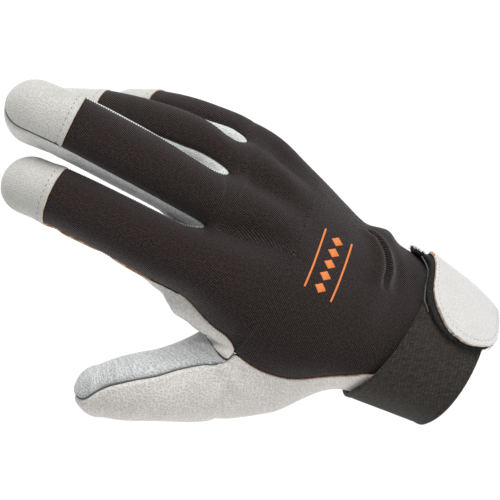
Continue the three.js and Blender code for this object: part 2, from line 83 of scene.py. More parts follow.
HAND = table(("u", "y", "z", "half", "back", "palm", "roll"), (
    (0, -2.6, 0, 25.4, 17.2, 18.0, 0),
    (16, -2.2, 0, 28.6, 19.2, 20.0, 0),
    (33, -1.9, 0.5, 32.2, 21.0, 22.0, 0),
    (43, -2.6, 0.6, 33.0, 20.6, 22.3, 0),
    (50, -1.4, 0.8, 34.8, 20.2, 22.5, -1),
    (60, -2.9, 1.2, 33.9, 19.4, 22.2, -1),
    (71, -1.5, 1.5, 35.5, 18.5, 21.5, -2),
    (91, 2.8, 1.5, 39.2, 17.2, 19.5, -4),
    (108, 5.0, 1, 42.0, 17.0, 18.0, -5),
    (136, 7.5, -3, 43.0, 15.0, 16.0, -8)))
JOINTS = ("u", "x", "y", "z", "half", "back", "palm")
FINGERS = {
    "index": table(JOINTS, (
        (56, -56, -13, 1, 12.0, 15, 16),
        (86, -86, -20, 1, 12.5, 15, 16),
        (108, -108, -25.2, 0.8, 12.6, 14.5, 14),
        (129, -129, -24.6, -3.4, 12.4, 12.2, 12.8),
        (150.5, -149.6, -23.2, -8.2, 12.0, 11.2, 12.0),
        (175, -172.4, -20.6, -17.0, 11.8, 10.6, 11.2),
        (189.3, -184.4, -19.0, -24.0, 11.8, 10.6, 10.8))),
    "middle": table(JOINTS, (
        (56, -56, -1, 2, 11.5, 16, 16),
        (86, -86, -1, 4, 12.0, 15.5, 16),
        (111.7, -111.7, -1.0, 4.8, 12.2, 14.5, 14),
        (134, -134, 0.4, 3.2, 12.0, 12.4, 14.0),
        (157.2, -156.9, 1.8, 0.0, 12.5, 11.6, 16.4),
        (185.3, -184.1, 3.4, -6.2, 12.5, 11.2, 17.6),
        (200.8, -198.2, 4.2, -12.2, 12.4, 11.0, 17.0))),
    "ring": table(JOINTS, (
        (56, -56, 8, 1, 10.5, 15, 16),
        (86, -86, 15.5, 1.5, 11.0, 14.5, 16),
        (107.9, -107.9, 21.0, 2.2, 10.6, 13.2, 14),
        (124, -124, 22.0, -0.9, 9.4, 11.4, 12.8),
        (137, -136.7, 24.4, -3.9, 10.9, 11.5, 12.1),
        (150.7, -149.3, 25.0, -8.6, 10.8, 11.0, 11.6),
        (177.7, -170.5, 26.0, -24.4, 10.8, 10.4, 11.0),
        (195.3, -182.0, 26.4, -37.6, 10.6, 10.0, 10.6))),
    "little": table(JOINTS, (
        (56, -56, 16, -2, 10.0, 14, 15),
        (86, -86, 28.5, -3.4, 10.5, 13.5, 14.5),
        (104, -104, 36.8, -5.6, 10.8, 12.5, 13),
        (120, -119.6, 41.0, -11.2, 10.6, 11.4, 12.0),
        (138, -134.8, 43.9, -19.2, 10.2, 10.4, 11.0),
        (157.5, -148.0, 46.8, -32.6, 9.8, 9.8, 10.4),
        (170.1, -154.5, 48.7, -42.7, 9.6, 9.4, 9.8))),
    "thumb": table(JOINTS, (
        (34, -36, -18, -10, 15.0, 15.0, 15.0),
        (56, -58, -34, -17.5, 16.0, 16.5, 16.5),
        (80, -80, -50.0, -23.0, 16.7, 16.6, 16.6),
        (96, -93.4, -57.8, -25.6, 15.2, 15.2, 15.2),
        (111.5, -106.3, -65.3, -28.9, 13.8, 13.8, 13.8),
        (122, -115.4, -70.6, -33.4, 12.4, 12.4, 12.4),
        (130.4, -121.8, -74.1, -37.2, 10.3, 10.3, 10.3))),
}
RAYS = ("index", "middle", "ring", "little")
CAP_START = {"index": 177.5, "middle": 184.5, "ring": 176, "little": 156}
FACING = {"index": (0, -0.12, 1), "middle": (0, -0.1, 1), "ring": (0, 0.15, 1), "little": (0, 0.35, 1),
          "thumb": (-0.28, -0.51, 0.81)}
FORKS = {                     # u on the back, half way down and on the palm side, and the roundings
    "thumb_index": (88, 97, 86, 30, 22),
    "index_middle": (122, 129, 134, 9, 8),
    "middle_ring": (122, 128, 133, 8, 8),
    "ring_little": (117, 121, 124, 6, 8)}
FORK_WIDTH = {                # degrees that a finger's upper seam keeps back from its fork
    ("index_middle", "middle"): 4, ("middle_ring", "ring"): 6, ("ring_little", "ring"): 3,
    ("ring_little", "little"): 9}
TIP_REACH = 0.98              # a fingertip's length past its last section, as a share of its half width
THUMB_ROUND = 0.5             # the thumb's own side leaves its fork in a tighter round
WEB_SHIFT, WEB_REACH = 0.24, 0.4   # the top of the thumb's fork lies nearer the thumb, down to this q
SPLIT = {"index_middle": -0.28, "middle_ring": 0.21, "ring_little": 0.62}
SEAM_PALM, SEAM_EDGE, WRAP_ANGLE, THUMB_PALM_SEAM = 125, 118, -150, -168
TIP_SEAM = {"index": 90, "middle": 71, "ring": 90, "little": 90}
UPPER_SEAM = {"index": (SEAM_EDGE, 62), "middle": (76, 60), "ring": (56, 58), "little": (42, SEAM_EDGE)}
KNIT_EDGE = table(("u", "thumb_side", "other_side"), (
    (0, -62, 104), (34, -63, 106), (50, -84, 108), (66, -100, 108), (81, -102, 108), (101, -103, 110),
    (121, -110, 114), (136, -118, 118)))
THUMB_SEAM = table(("u", "turn"), (
    (46, -30), (62, -34), (76, -24), (87, 4), (94, 25), (102, 29), (112, 19), (121, 15.5), (128, 11),
    (133, 0), (138, -18), (142, -22)))
CUFF_START = 4
CUFF_SLIT = 4                 # degrees, half the slit at the cuff's little-finger edge
OPENING_SHIFT = 2.6           # brings the middle of the wrist opening to the origin
KNIT_WALL = 1.1
SOFT_ROUNDS = 40
MM = 0.001


def ease(low, high, u):
    """0 up to low, 1 from high, and a smooth rise between."""
    t = np.clip((u - low) / (high - low), 0, 1)
    return t * t * (3 - 2 * t)


def stack(x, y, z):
    """Points from their three coordinates."""
    return np.stack(np.broadcast_arrays(x, y, z), -1)


def unit(vectors):
    """Vectors scaled to length 1."""
    return vectors / np.maximum(np.linalg.norm(vectors, axis=-1, keepdims=True), 1e-12)


def mix(first, second, t):
    """Points a share t of the way from the first to the second."""
    return first + (second - first) * np.asarray(t, float)[..., None]


def palm_point(u, turn, lift=0.0):
    """A squared oval: |sin turn| and |cos turn| to the power 0.87, times half width and height, then
    rolled and set at -u. turn is 0 on the back and grows towards the little finger."""
    power = 2 / 2.3
    s, c = np.sin(np.radians(turn)), np.cos(np.radians(turn))
    across = (HAND("half", u) + lift) * np.sign(s) * np.abs(s) ** power
    height = (np.where(c > 0, HAND("back", u), HAND("palm", u)) + lift) * np.sign(c) * np.abs(c) ** power
    roll = np.radians(HAND("roll", u))
    return stack(-u, HAND("y", u) + across * np.cos(roll) - height * np.sin(roll) + OPENING_SHIFT,
                 HAND("z", u) + across * np.sin(roll) + height * np.cos(roll))


def turn_at(share):
    """Turn at which the palm's section reaches that share of its half width."""
    return math.degrees(math.asin(math.copysign(abs(share) ** 1.15, share)))


def finger_point(name, u, turn):
    """An oval across the finger's middle line. Past the last joint it keeps its middle and shrinks by
    sqrt(1 - t^2), which makes the round tip."""
    row = FINGERS[name]
    reach = TIP_REACH * row("half", row.end)
    t = np.clip((u - row.end) / reach, 0, 1)
    dome = np.sqrt(1 - t**2)
    on = np.minimum(u, row.end)

    def middle(at):
        return stack(row("x", at), row("y", at) + OPENING_SHIFT, row("z", at))

    along = unit(middle(on + 0.5) - middle(on - 0.5))
    face = np.array(FACING[name])
    up = unit(face - along * (along @ face)[..., None])
    side = np.cross(along, up)
    s, c = np.sin(np.radians(turn)), np.cos(np.radians(turn))
    across = (row("half", on) * dome * s)[..., None]
    height = (np.where(c > 0, row("back", on), row("palm", on)) * dome * c)[..., None]
    return middle(on) + (t * reach)[..., None] * along + across * side + height * up


def finger_end(name):
    """Distance u of the very tip."""
    return FINGERS[name].end + TIP_REACH * float(FINGERS[name]("half", FINGERS[name].end))


def sunk(name, path, u, depth):
    """A path on a finger moved towards the finger's middle line by a depth."""
    row, on = FINGERS[name], np.minimum(u, FINGERS[name].end)
    middle = stack(row("x", on), row("y", on) + OPENING_SHIFT, row("z", on))
    return path + unit(middle - path) * depth


def blend(name, u, palm_turn, finger_turn):
    """The palm's section, changing into the finger's over its root."""
    share = ease(30, 66, u) if name == "thumb" else ease(80, 132, u)
    return mix(palm_point(u, palm_turn), finger_point(name, u, finger_turn), share)


def seam_turn(name, u, along):
    """The upper and lower seams draw together round the fingertip."""
    return along + (TIP_SEAM[name] - along) * ease(FINGERS[name].end - 16, FINGERS[name].end + 2, u)


def inner_side(fork, name, u, q):
    """The side of a finger towards a fork, at depth q: 0 on the back and 1 on the palm side."""
    if fork == "thumb_index":
        edge = KNIT_EDGE("thumb_side", u)
        seam = THUMB_SEAM("turn", u) if name == "thumb" else -seam_turn("index", u, SEAM_EDGE)
        lower = 360 + THUMB_PALM_SEAM if name == "thumb" else WRAP_ANGLE
        return blend(name, u, edge + q * (WRAP_ANGLE - edge), seam + q * (lower - seam))
    sign, before = (1, 1) if fork.startswith(name) else (-1, 0)
    near = np.exp(-((u - FORKS[fork][0] - 2) / 10) ** 2)
    upper = seam_turn(name, u, UPPER_SEAM[name][before]) - FORK_WIDTH.get((fork, name), 0) * near
    turn = sign * (upper + q * (seam_turn(name, u, SEAM_PALM) - upper))
    split = turn_at(SPLIT[fork])
    wall = mix(palm_point(u, split), palm_point(u, 180 - split), q)
    return mix(wall, finger_point(name, u, turn), ease(80, 132, u))


def fork_start(fork, q):
    """Where the fork opens at depth q: a parabola through its three distances."""
    back, middle, palm = FORKS[fork][:3]
    return back * (1 - q) * (1 - 2 * q) + middle * 4 * q * (1 - q) + palm * q * (2 * q - 1)


def row_at(fork, row, q):
    """Distance u that a row of the back takes at depth q, so that both sides of a fork share rows."""
    back = FORKS[fork][0]
    near = np.where(row < back, ease(back - 60, back, row), 1 - ease(back, back + 40, row))
    return row + (fork_start(fork, q) - back) * near


def fork_side(fork, name, u, q):
    """A side of the fork: both sides' mean behind its start, then apart by sqrt(t (2 - t))."""
    first, second = fork.split("_")
    round_back, round_palm = FORKS[fork][3:]
    length = (round_back + q * (round_palm - round_back)) * (THUMB_ROUND if name == "thumb" else 1)
    t = np.clip((u - fork_start(fork, q)) / length, 0, 1)
    own = inner_side(fork, name, u, q)
    shift = WEB_SHIFT * np.sin(np.pi * np.sqrt(np.minimum(q / WEB_REACH, 1))) if fork == "thumb_index" \
        else 0 * t
    other = inner_side(fork, second if name == first else first, u, q)
    half = mix(own, other, 0.5 - shift if name == "thumb" else 0.5 + shift)
    part = np.sqrt(t * (2 - t))
    if (fork, name) == ("thumb_index", "index"):
        quick = 0.55 - 0.25 * np.minimum(2 * q, 1)
        part = quick * part + (1 - quick) * ease(0.3, 1, t)
    return mix(half, own, part)


def drawn(surface, v, start, end, power=2.0):
    """A surface over v from 0 to 1 whose two edges are moved to start and end, the rest following."""
    out = surface(v) + (start - surface(0 * v)) * ((1 - v) ** power)[..., None]
    return out if end is None else out + (end - surface(0 * v + 1)) * (v**power)[..., None]


def fork_beside(name, sign):
    """The fork on the thumb side (-1) or on the other side (1) of a finger, if it has one."""
    fingers = ("thumb", *RAYS)
    at = fingers.index(name) + min(sign, 0)
    return "_".join(fingers[at:at + 2]) if at + 2 <= len(fingers) else None


def back_surface(name, u, v):
    """The back of the hand and of one finger, v running across it from the thumb side."""
    before, beyond = fork_beside(name, -1), fork_beside(name, 1)
    start = KNIT_EDGE("thumb_side", u) if name == "index" else turn_at(SPLIT[before])
    slit = CUFF_SLIT * (1 - ease(46, 62, u))
    end = turn_at(SPLIT[beyond]) if beyond else KNIT_EDGE("other_side", u) - slit
    low, high = -seam_turn(name, u, UPPER_SEAM[name][0]), seam_turn(name, u, UPPER_SEAM[name][1])
    return drawn(lambda w: blend(name, u, start + w * (end - start), low + w * (high - low)), v,
                 fork_side(before, name, u, 0.0), fork_side(beyond, name, u, 0.0) if beyond else None)


def rows_between(low, high, name=None):
    """Rows 1 mm apart, closer at the cuff's folds, just ahead of each fork and round the tip."""
    rows = [np.arange(math.ceil(low), high - 0.3, 1.0), [low, high]]
    rows += [back + np.array((0.06, 0.25, 0.55)) for back, *_ in FORKS.values()]
    rows += [np.arange(44.5, 66)]
    rows = np.unique(np.concatenate(rows))
    rows = rows[(rows >= low) & (rows <= high)]
    if name and high > FINGERS[name].end:
        tip = FINGERS[name].end
        dome = tip + (finger_end(name) - tip) * np.sin(np.radians(np.arange(0, 91, 7.5)))
        rows = np.concatenate([rows[rows < tip - 0.3], dome])
    return rows[:, None]


def columns(count):
    """Steps across a piece from 0 to 1."""
    return np.linspace(0, 1, count + 1)[None, :]


def joined(patches, given=None):
    """Grids made one surface: equal points become one, each cell is two triangles, empty ones go.
    A patch is (points, flip). The map holds millimetres along the rows and across the columns."""
    points, maps, faces, start = [], [], [], 0
    for number, (grid, flip) in enumerate(patches):
        high, wide = grid.shape[:2]
        corner = (np.arange(high - 1)[:, None] * wide + np.arange(wide - 1)[None, :]).ravel() + start
        cells = np.concatenate([np.stack([corner, corner + 1, corner + wide + 1], -1),
                                np.stack([corner, corner + wide + 1, corner + wide], -1)])
        faces.append(cells[:, ::-1] if flip else cells)
        points.append(grid.reshape(-1, 3))
        across = np.linalg.norm(np.diff(grid, axis=1), axis=-1).cumsum(1)
        across = np.concatenate([np.zeros((high, 1)), across], 1)
        across -= across[:, wide // 2:wide // 2 + 1]
        middle = grid[:, wide // 2]
        along = np.r_[0, np.linalg.norm(np.diff(middle, axis=0), axis=-1).cumsum()]
        own = np.stack([np.repeat(along[:, None], wide, 1), across + middle[:, 1:2]], -1)
        maps.append(own if given is None else given[number])
        start += high * wide
    points, maps, faces = np.concatenate(points), np.concatenate([m.reshape(-1, 2) for m in maps]), \
        np.concatenate(faces)
    _, keep, place = np.unique(np.round(points * 200).astype(np.int64), axis=0, return_index=True,
                               return_inverse=True)
    faces = place.ravel()[faces]
    whole = (faces[:, 0] != faces[:, 1]) & (faces[:, 1] != faces[:, 2]) & (faces[:, 2] != faces[:, 0])
    return points[keep], maps[keep], faces[whole]


def point_normals(points, faces):
    """Each point's normal: the sum of its faces' cross products, made unit."""
    a, b, c = (points[faces[:, k]] for k in range(3))
    cross = np.cross(b - a, c - a)
    total = np.stack([sum(np.bincount(faces[:, k], cross[:, axis], len(points)) for k in range(3))
                      for axis in range(3)], -1)
    return unit(total)


def softened(points, faces, weight, rounds):
    """Each point moves towards the mean of its neighbours by its weight, a number of times. Points on
    the piece's edge stay."""
    pairs = np.concatenate([faces[:, [0, 1]], faces[:, [1, 2]], faces[:, [2, 0]]])
    count = len(points)
    coded = pairs[:, 0] * count + pairs[:, 1]
    lone = pairs[~np.isin(pairs[:, 1] * count + pairs[:, 0], coded)]
    weight = weight.copy()
    weight[lone.ravel()] = 0
    number = np.maximum(np.bincount(pairs[:, 0], minlength=count), 1)[:, None]
    for _ in range(rounds):
        mean = np.stack([np.bincount(pairs[:, 0], points[pairs[:, 1], k], count) for k in range(3)], -1)
        points = points + (mean / number - points) * weight[:, None]
    return points


def distance(points, path):
    """Each point's distance to the nearest point of a path, whose short gaps are filled in by thirds."""
    path = path.reshape(-1, 3)
    step = np.diff(path, axis=0)
    short = np.linalg.norm(step, axis=1) < 3
    path = np.concatenate([path] + [path[:-1][short] + step[short] * part for part in (1 / 3, 2 / 3)])
    near = [((block**2).sum(1)[:, None] + (path**2).sum(1)[None, :] - 2 * block @ path.T).min(1)
            for block in np.array_split(points, len(points) // 3000 + 1)]
    return np.sqrt(np.maximum(np.concatenate(near), 0))


def into_mesh(name, points, faces, maps, parts, materials):
    """A mesh object in metres from triangles, with a map in millimetres and a material per face."""
    mesh = bpy.data.meshes.new(name)
    mesh.vertices.add(len(points))
    mesh.vertices.foreach_set("co", (points * MM).ravel())
    mesh.loops.add(faces.size)
    mesh.loops.foreach_set("vertex_index", faces.ravel())
    mesh.polygons.add(len(faces))
    mesh.polygons.foreach_set("loop_start", np.arange(0, faces.size, 3))
    mesh.polygons.foreach_set("loop_total", np.full(len(faces), 3))
    mesh.polygons.foreach_set("material_index", parts)
    mesh.polygons.foreach_set("use_smooth", np.ones(len(faces), bool))
    mesh.update(calc_edges=True)
    mesh.uv_layers.new(name="cloth").data.foreach_set("uv", maps[faces.ravel()].ravel())
    for material in materials:
        mesh.materials.append(material)
    piece = bpy.data.objects.new(name, mesh)
    bpy.context.scene.collection.objects.link(piece)
    return piece


def sewn(name, patches, wall, materials, relief, rim=0.3, soft=None, given=None):
    """A piece of cloth or leather: its grids joined, softened where soft(points) says, moved out by
    relief(points), given a wall inwards and a rounded cut edge. The materials are for its face, its
    cut edge and its inner side."""
    points, maps, faces = joined(patches, given)
    if soft is not None:
        points = softened(points, faces, soft(points), SOFT_ROUNDS)
    points = points + point_normals(points, faces) * relief(points)[:, None]
    normals = point_normals(points, faces)
    count = len(points)
    edges = np.concatenate([faces[:, [0, 1, 2]], faces[:, [1, 2, 0]], faces[:, [2, 0, 1]]])
    coded = edges[:, 0] * count + edges[:, 1]
    border = edges[~np.isin(edges[:, 1] * count + edges[:, 0], coded)]
    a, b, c = (points[border[:, k]] for k in range(3))
    edge = unit(b - a)
    inward = unit((c - a) - edge * ((c - a) * edge).sum(1, keepdims=True))
    pull = np.zeros_like(points)
    for axis in range(3):
        pull[:, axis] = sum(np.bincount(border[:, k], inward[:, axis], count) for k in range(2))
    pull = unit(pull)
    ring = np.unique(border[:, :2])
    place = np.zeros(count, int)
    place[ring] = np.arange(len(ring))
    rounds = [points[ring] + pull[ring] * (rim * draw) - normals[ring] * (wall * depth)
              for draw, depth in ((0.3, 0.12), (0.0, 0.3), (0.0, 0.7), (0.3, 0.88))]
    edge_pull = pull * rim
    every = [points + edge_pull, points - normals * wall + edge_pull, *rounds]
    levels = [border[:, :2]]
    levels += [place[border[:, :2]] + 2 * count + len(ring) * k for k in range(len(rounds))]
    levels += [border[:, :2] + count]
    bands = [np.concatenate([np.stack([q[:, 1], q[:, 0], r[:, 0]], -1),
                             np.stack([q[:, 1], r[:, 0], r[:, 1]], -1)])
             for q, r in zip(levels[:-1], levels[1:])]
    triangles = np.concatenate([faces, faces[:, ::-1] + count, *bands])
    parts = np.repeat([0, 2, 0, 1, 1, 1, 2], [len(faces), len(faces), *(len(band) for band in bands)])
    return into_mesh(name, np.concatenate(every), triangles,
                     np.concatenate([maps, maps, *[maps[ring]] * len(rounds)]), parts, materials)


def rgb(red, green, blue):
    """Linear colour from screen values of 0 to 255."""
    screen = np.array((red, green, blue)) / 255
    return tuple(np.where(screen <= 0.04045, screen / 12.92, ((screen + 0.055) / 1.055) ** 2.4))


def finish(name, colour, roughness, **sockets):
    """A material with plain values on its shader's own sockets, and its node tree."""
    material = bpy.data.materials.new(name)
    material.use_nodes = True
    shader = material.node_tree.nodes["Principled BSDF"]
    shader.inputs["Base Color"].default_value = (*colour, 1)
    shader.inputs["Roughness"].default_value = roughness
    for socket, value in sockets.items():
        shader.inputs[socket.replace("_", " ")].default_value = value
    return material, material.node_tree, shader


def node(tree, kind, inputs=None, **settings):
    """A node with its settings, and with values or links on its inputs."""
    made = tree.nodes.new("ShaderNode" + kind)
    for key, value in settings.items():
        setattr(made, key, value)
    for key, value in (inputs or {}).items():
        if isinstance(value, bpy.types.NodeSocket):
            tree.links.new(value, made.inputs[key])
        else:
            made.inputs[key].default_value = value
    return made


def two_colours(tree, shader, share, first, second):
    """Base colour from the first to the second by a share from 0 to 1."""
    blendnode = node(tree, "Mix", {0: share, 6: (*first, 1), 7: (*second, 1)}, data_type="RGBA")
    tree.links.new(blendnode.outputs[2], shader.inputs["Base Color"])


def knit_cloth():
    """Black twill-faced stretch knit: fine slanting ribs across the map, each a thread of its own. The
    raised crests of the threads are painted in the paler colour as a painted highlight, on top of the
    cloth's uneven tone.
    """
    rib, dark, pale_tone_and_crest_highlight = 0.74, rgb(17, 13, 13), rgb(80, 68, 66)
    material, tree, shader = finish("stretch knit", dark, 0.7, Sheen_Weight=0.2, Sheen_Roughness=0.3,
                                    Specular_IOR_Level=0.12)
    cloth = node(tree, "UVMap", uv_map="cloth")
    slanted = node(tree, "Mapping", {"Vector": cloth.outputs[0], "Rotation": (0, 0, math.radians(62))})
    ribs = node(tree, "TexWave", {"Vector": slanted.outputs[0], "Scale": 0.314 / rib, "Distortion": 0.6,
                                  "Detail": 1.0, "Detail Scale": 2.0}, bands_direction="X")
    threads = node(tree, "TexWave", {"Vector": slanted.outputs[0], "Scale": 0.314 / 0.62,
                                     "Distortion": 1.5, "Detail": 1.0}, bands_direction="Y")
    fluff = node(tree, "TexNoise", {"Vector": cloth.outputs[0], "Scale": 1.3, "Detail": 3.0})
    weave = node(tree, "Math", {0: ribs.outputs["Fac"], 1: threads.outputs["Fac"]}, operation="MULTIPLY")
    height = node(tree, "Math", {0: weave.outputs[0], 1: 1.2, 2: ribs.outputs["Fac"]},
                  operation="MULTIPLY_ADD")
    tone = node(tree, "MapRange", {"Value": fluff.outputs["Fac"], 1: 0.3, 2: 0.7, 3: -0.2, 4: 0.28})
    # Painted highlight: the colour moves towards the paler one with the threads' height, and the noise adds
    # the cloth's uneven tone.
    share = node(tree, "Math", {0: height.outputs[0], 1: 0.31, 2: tone.outputs[0]},
                 operation="MULTIPLY_ADD", use_clamp=True)
    two_colours(tree, shader, share.outputs[0], dark, pale_tone_and_crest_highlight)
    bump = node(tree, "Bump", {"Strength": 1.0, "Distance": 0.15 * MM, "Height": height.outputs[0]})
    tree.links.new(bump.outputs[0], shader.inputs["Normal"])
    return material


def valley(points, path, depth, width):
    """How far a fold lowers the surface: depth times exp(-(distance / width)^2)."""
    return -depth * np.exp(-(distance(points, path) / width) ** 2)


def through(*stations):
    """A smooth path through a few places in millimetres."""
    stations = np.array(stations, float)
    rows = np.column_stack([np.arange(len(stations)), stations])
    curve = table(("t", "x", "y", "z"), rows)
    t = np.linspace(0, len(stations) - 1, 24 * len(stations))
    return stack(curve("x", t), curve("y", t), curve("z", t))


def knit_border():
    """The knit's edge on the thumb side, from the cuff to the index cap."""
    rows = rows_between(CUFF_START, CAP_START["index"])
    return back_surface("index", rows, columns(1)[:, :1])


def seam_start(name, side):
    """Where the seam along one side of a finger starts: at its fork, or at the cuff on the last one."""
    return CUFF_START if (name, side) == ("little", 1) else FORKS[fork_beside(name, 2 * side - 1)][0]


def seam_path(name, side, low, high):
    """The knit's edge along one side of a finger, 0 towards the thumb and 1 away from it."""
    rows = rows_between(low, high, name)
    return back_surface(name, rows, np.full((1, 1), float(side))).reshape(-1, 3), rows


def finger_borders():
    """Both upper seams of each finger, where the knit meets the leather between the fingers."""
    return np.concatenate([seam_path(name, side, seam_start(name, side), finger_end(name))[0]
                           for name in RAYS for side in (0, 1) if (name, side) != ("index", 0)])


THUMB_EDGE = knit_border()
FINGER_SEAMS = finger_borders()
CUFF_ROLL = through((-59.1, 24.6, 15.4), (-56.7, 24.4, 15.9), (-53.9, 21.4, 17.7), (-51.6, 17.9, 19.0),
                    (-49.8, 13.6, 20.0), (-48.8, 10.1, 20.5), (-48.7, 6.1, 20.9), (-48.6, 2.5, 21.0))
CUFF_FOLDS = (                # how far beside the roll's crease, depth (negative stands up), width
    (-3.6, -1.3, 2.8), (0.0, 2.4, 1.15), (2.1, -0.9, 1.1), (5.0, 0.9, 2.5))
CUFF_FLARE = seam_path("little", 1, 38, 45)[0]
GAPE = (0, 0.65, 0.76)        # the way in which the slit's edges stand out
KNIT_GAPE, PALM_GAPE = (8.5, 8.5), (9, 7)   # how far, and over what width
FORK_VALLEYS = (              # fork, how far back it reaches, depth, width
    ("index_middle", 40, 1.9, 6.0),
    ("middle_ring", 36, 1.6, 5.4),
    ("ring_little", 34, 1.4, 5.0))


def beside(path, shift):
    """A path moved over the surface, square to itself and to the way out from the hand's middle."""
    along = unit(np.gradient(path, axis=0))
    return path + np.cross(unit(path * (0, 1, 1)), along) * shift


def gaping(grid, form):
    """The cuff's slit gapes: its edges stand out and up, the most at the slit, less over the width, and
    not at all under the strap."""
    most, width = form
    near = np.exp(-((distance(grid.reshape(-1, 3), CUFF_FLARE) / width) ** 2)).reshape(grid.shape[:2])
    return grid + (most * near * ease(32, 45, -grid[..., 0]))[..., None] * GAPE


def fork_softness(points):
    """1 on the line that runs back from each fork, less beside it, and none far from the forks."""
    most = 0 * points[:, 0]
    for fork, (start, *_) in FORKS.items():
        if fork != "thumb_index":
            path = fork_side(fork, fork.split("_")[0], np.linspace(start - 45, start + 1, 60), 0.0)
            near = np.exp(-(distance(points, path) / 5.5) ** 2)
            most = np.maximum(most, near * ease(start - 48, start - 12, -points[:, 0]))
    return 0.7 * most


def back_relief(points):
    """Height over the plain form: hollows running back from the forks, the roll at the cuff, soft
    unevenness, and edges drawn down into the seams."""
    u = -points[:, 0]
    height = 0.25 * np.sin(points[:, 1] / 7 + u / 19) * np.sin(u / 13 + 1.0) * ease(20, 50, u)
    for fork, reach, depth, width in FORK_VALLEYS:
        start = FORKS[fork][0]
        rows = np.linspace(start - reach, start + 2, 60)
        path = fork_side(fork, fork.split("_")[0], rows, 0.0)
        height = height + valley(points, path, depth, width) * ease(start - reach, start - 16, u) \
            * (1 - ease(start - 14, start - 2, u))
    for shift, depth, width in CUFF_FOLDS:
        height = height + valley(points, beside(CUFF_ROLL, shift), depth, width) * ease(-1, 9, points[:, 1])
    height = height + valley(points, THUMB_EDGE, 0.45, 1.2)
    return height + valley(points, FINGER_SEAMS, 0.55, 1.1)


knit = knit_cloth()
KNIT_UNDER_CAP = 3.0
KNIT_COLUMNS = 30
MAP_SPLIT = 115               # the fingers' cloth runs on from the hand's, each along its own middle
knit_rows = [rows_between(CUFF_START, CAP_START[name] + KNIT_UNDER_CAP) for name in RAYS]
knit_grids = [gaping(back_surface(name, rows, columns(KNIT_COLUMNS)), KNIT_GAPE)
              for name, rows in zip(RAYS, knit_rows)]
knit_maps, edge, half = [], None, KNIT_COLUMNS // 2
for name, rows, grid in zip(RAYS, knit_rows, knit_grids):
    arc = np.linalg.norm(np.diff(grid, axis=1), axis=-1).cumsum(1)
    arc = np.concatenate([np.zeros((len(grid), 1)), arc], 1)
    hand = int((rows[:, 0] <= MAP_SPLIT).sum())
    begin = (-arc[:hand, -1] if edge is None else edge)[:, None]
    fingers = arc[hand:] - arc[hand:, half:half + 1] + begin[-1] + arc[hand - 1, half] \
        + grid[hand:, half, 1:2] - grid[hand - 1, half, 1]
    across = np.concatenate([begin + arc[:hand], fingers])
    edge = across[:hand, -1]
    knit_maps.append(np.stack([np.repeat(rows, KNIT_COLUMNS + 1, 1), across], -1))
knit_back = sewn("knit_back", [(grid, False) for grid in knit_grids], KNIT_WALL, (knit, knit, knit),
                 back_relief, 0.15, fork_softness, knit_maps)
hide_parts("back_panel")
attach(knit_back, "root")


# The ornament. A row of plain diamonds between two lines, printed in orange on the back of the hand.
# The print is a thin skin of ink that follows the knit.
PRINT_FROM, PRINT_TO = -16.0, 12.0          # along y, millimetres
PRINT_MIDDLE, LINE_AWAY, LINE_WIDTH = 73.0, 6.2, 0.8
DIAMONDS, DIAMOND_LONG, DIAMOND_WIDE = 5, 4.4, 5.2


def on_knit(places):
    """Points on the knit at places (u, y): the mean height of its outer vertices, weighted by
    exp(-(distance / 0.9)^2)."""
    count = len(knit_back.data.vertices)
    at, normals = np.empty((count, 3)), np.empty((count, 3))
    knit_back.data.vertices.foreach_get("co", at.ravel())
    knit_back.data.vertices.foreach_get("normal", normals.ravel())
    at = at[(normals[:, 2] > 0.4) & (at[:, 2] > 5 * MM)] / MM
    spots = places.reshape(-1, 2) * (-1, 1)
    at = at[((at[:, :2] > spots.min(0) - 4) & (at[:, :2] < spots.max(0) + 4)).all(1)]
    weight = np.exp(-((spots[:, None] - at[None, :, :2]) ** 2).sum(-1) / 0.81)
    height = (weight * at[None, :, 2]).sum(1) / weight.sum(1)
    return np.column_stack([spots, height]).reshape(*places.shape[:-1], 3)


def printed(u, y, width):
    """A printed stroke along y at a distance u, three points across its width."""
    y, width = np.broadcast_arrays(y, width)
    along = u + width[:, None] * np.array((-0.5, 0.0, 0.5))
    return on_knit(np.stack([along, 0 * along + y[:, None]], -1))


run = np.linspace(PRINT_FROM, PRINT_TO, 60)
strokes = [printed(PRINT_MIDDLE + away, run, LINE_WIDTH) for away in (-LINE_AWAY, LINE_AWAY)]
for k in range(DIAMONDS):
    middle = PRINT_FROM + (PRINT_TO - PRINT_FROM) * (k + 0.5) / DIAMONDS
    along = np.linspace(-1, 1, 13)
    strokes.append(printed(PRINT_MIDDLE, middle + along * DIAMOND_LONG / 2,
                           DIAMOND_WIDE * (1 - np.abs(along))))
ink = finish("orange print", rgb(226, 126, 62), 0.65)[0]
ornament = sewn("ornament", [(stroke, False) for stroke in strokes], 0.3, (ink, ink, ink),
                lambda points: 0.14 + 0 * points[:, 0], 0.02)
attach(ornament, "root")


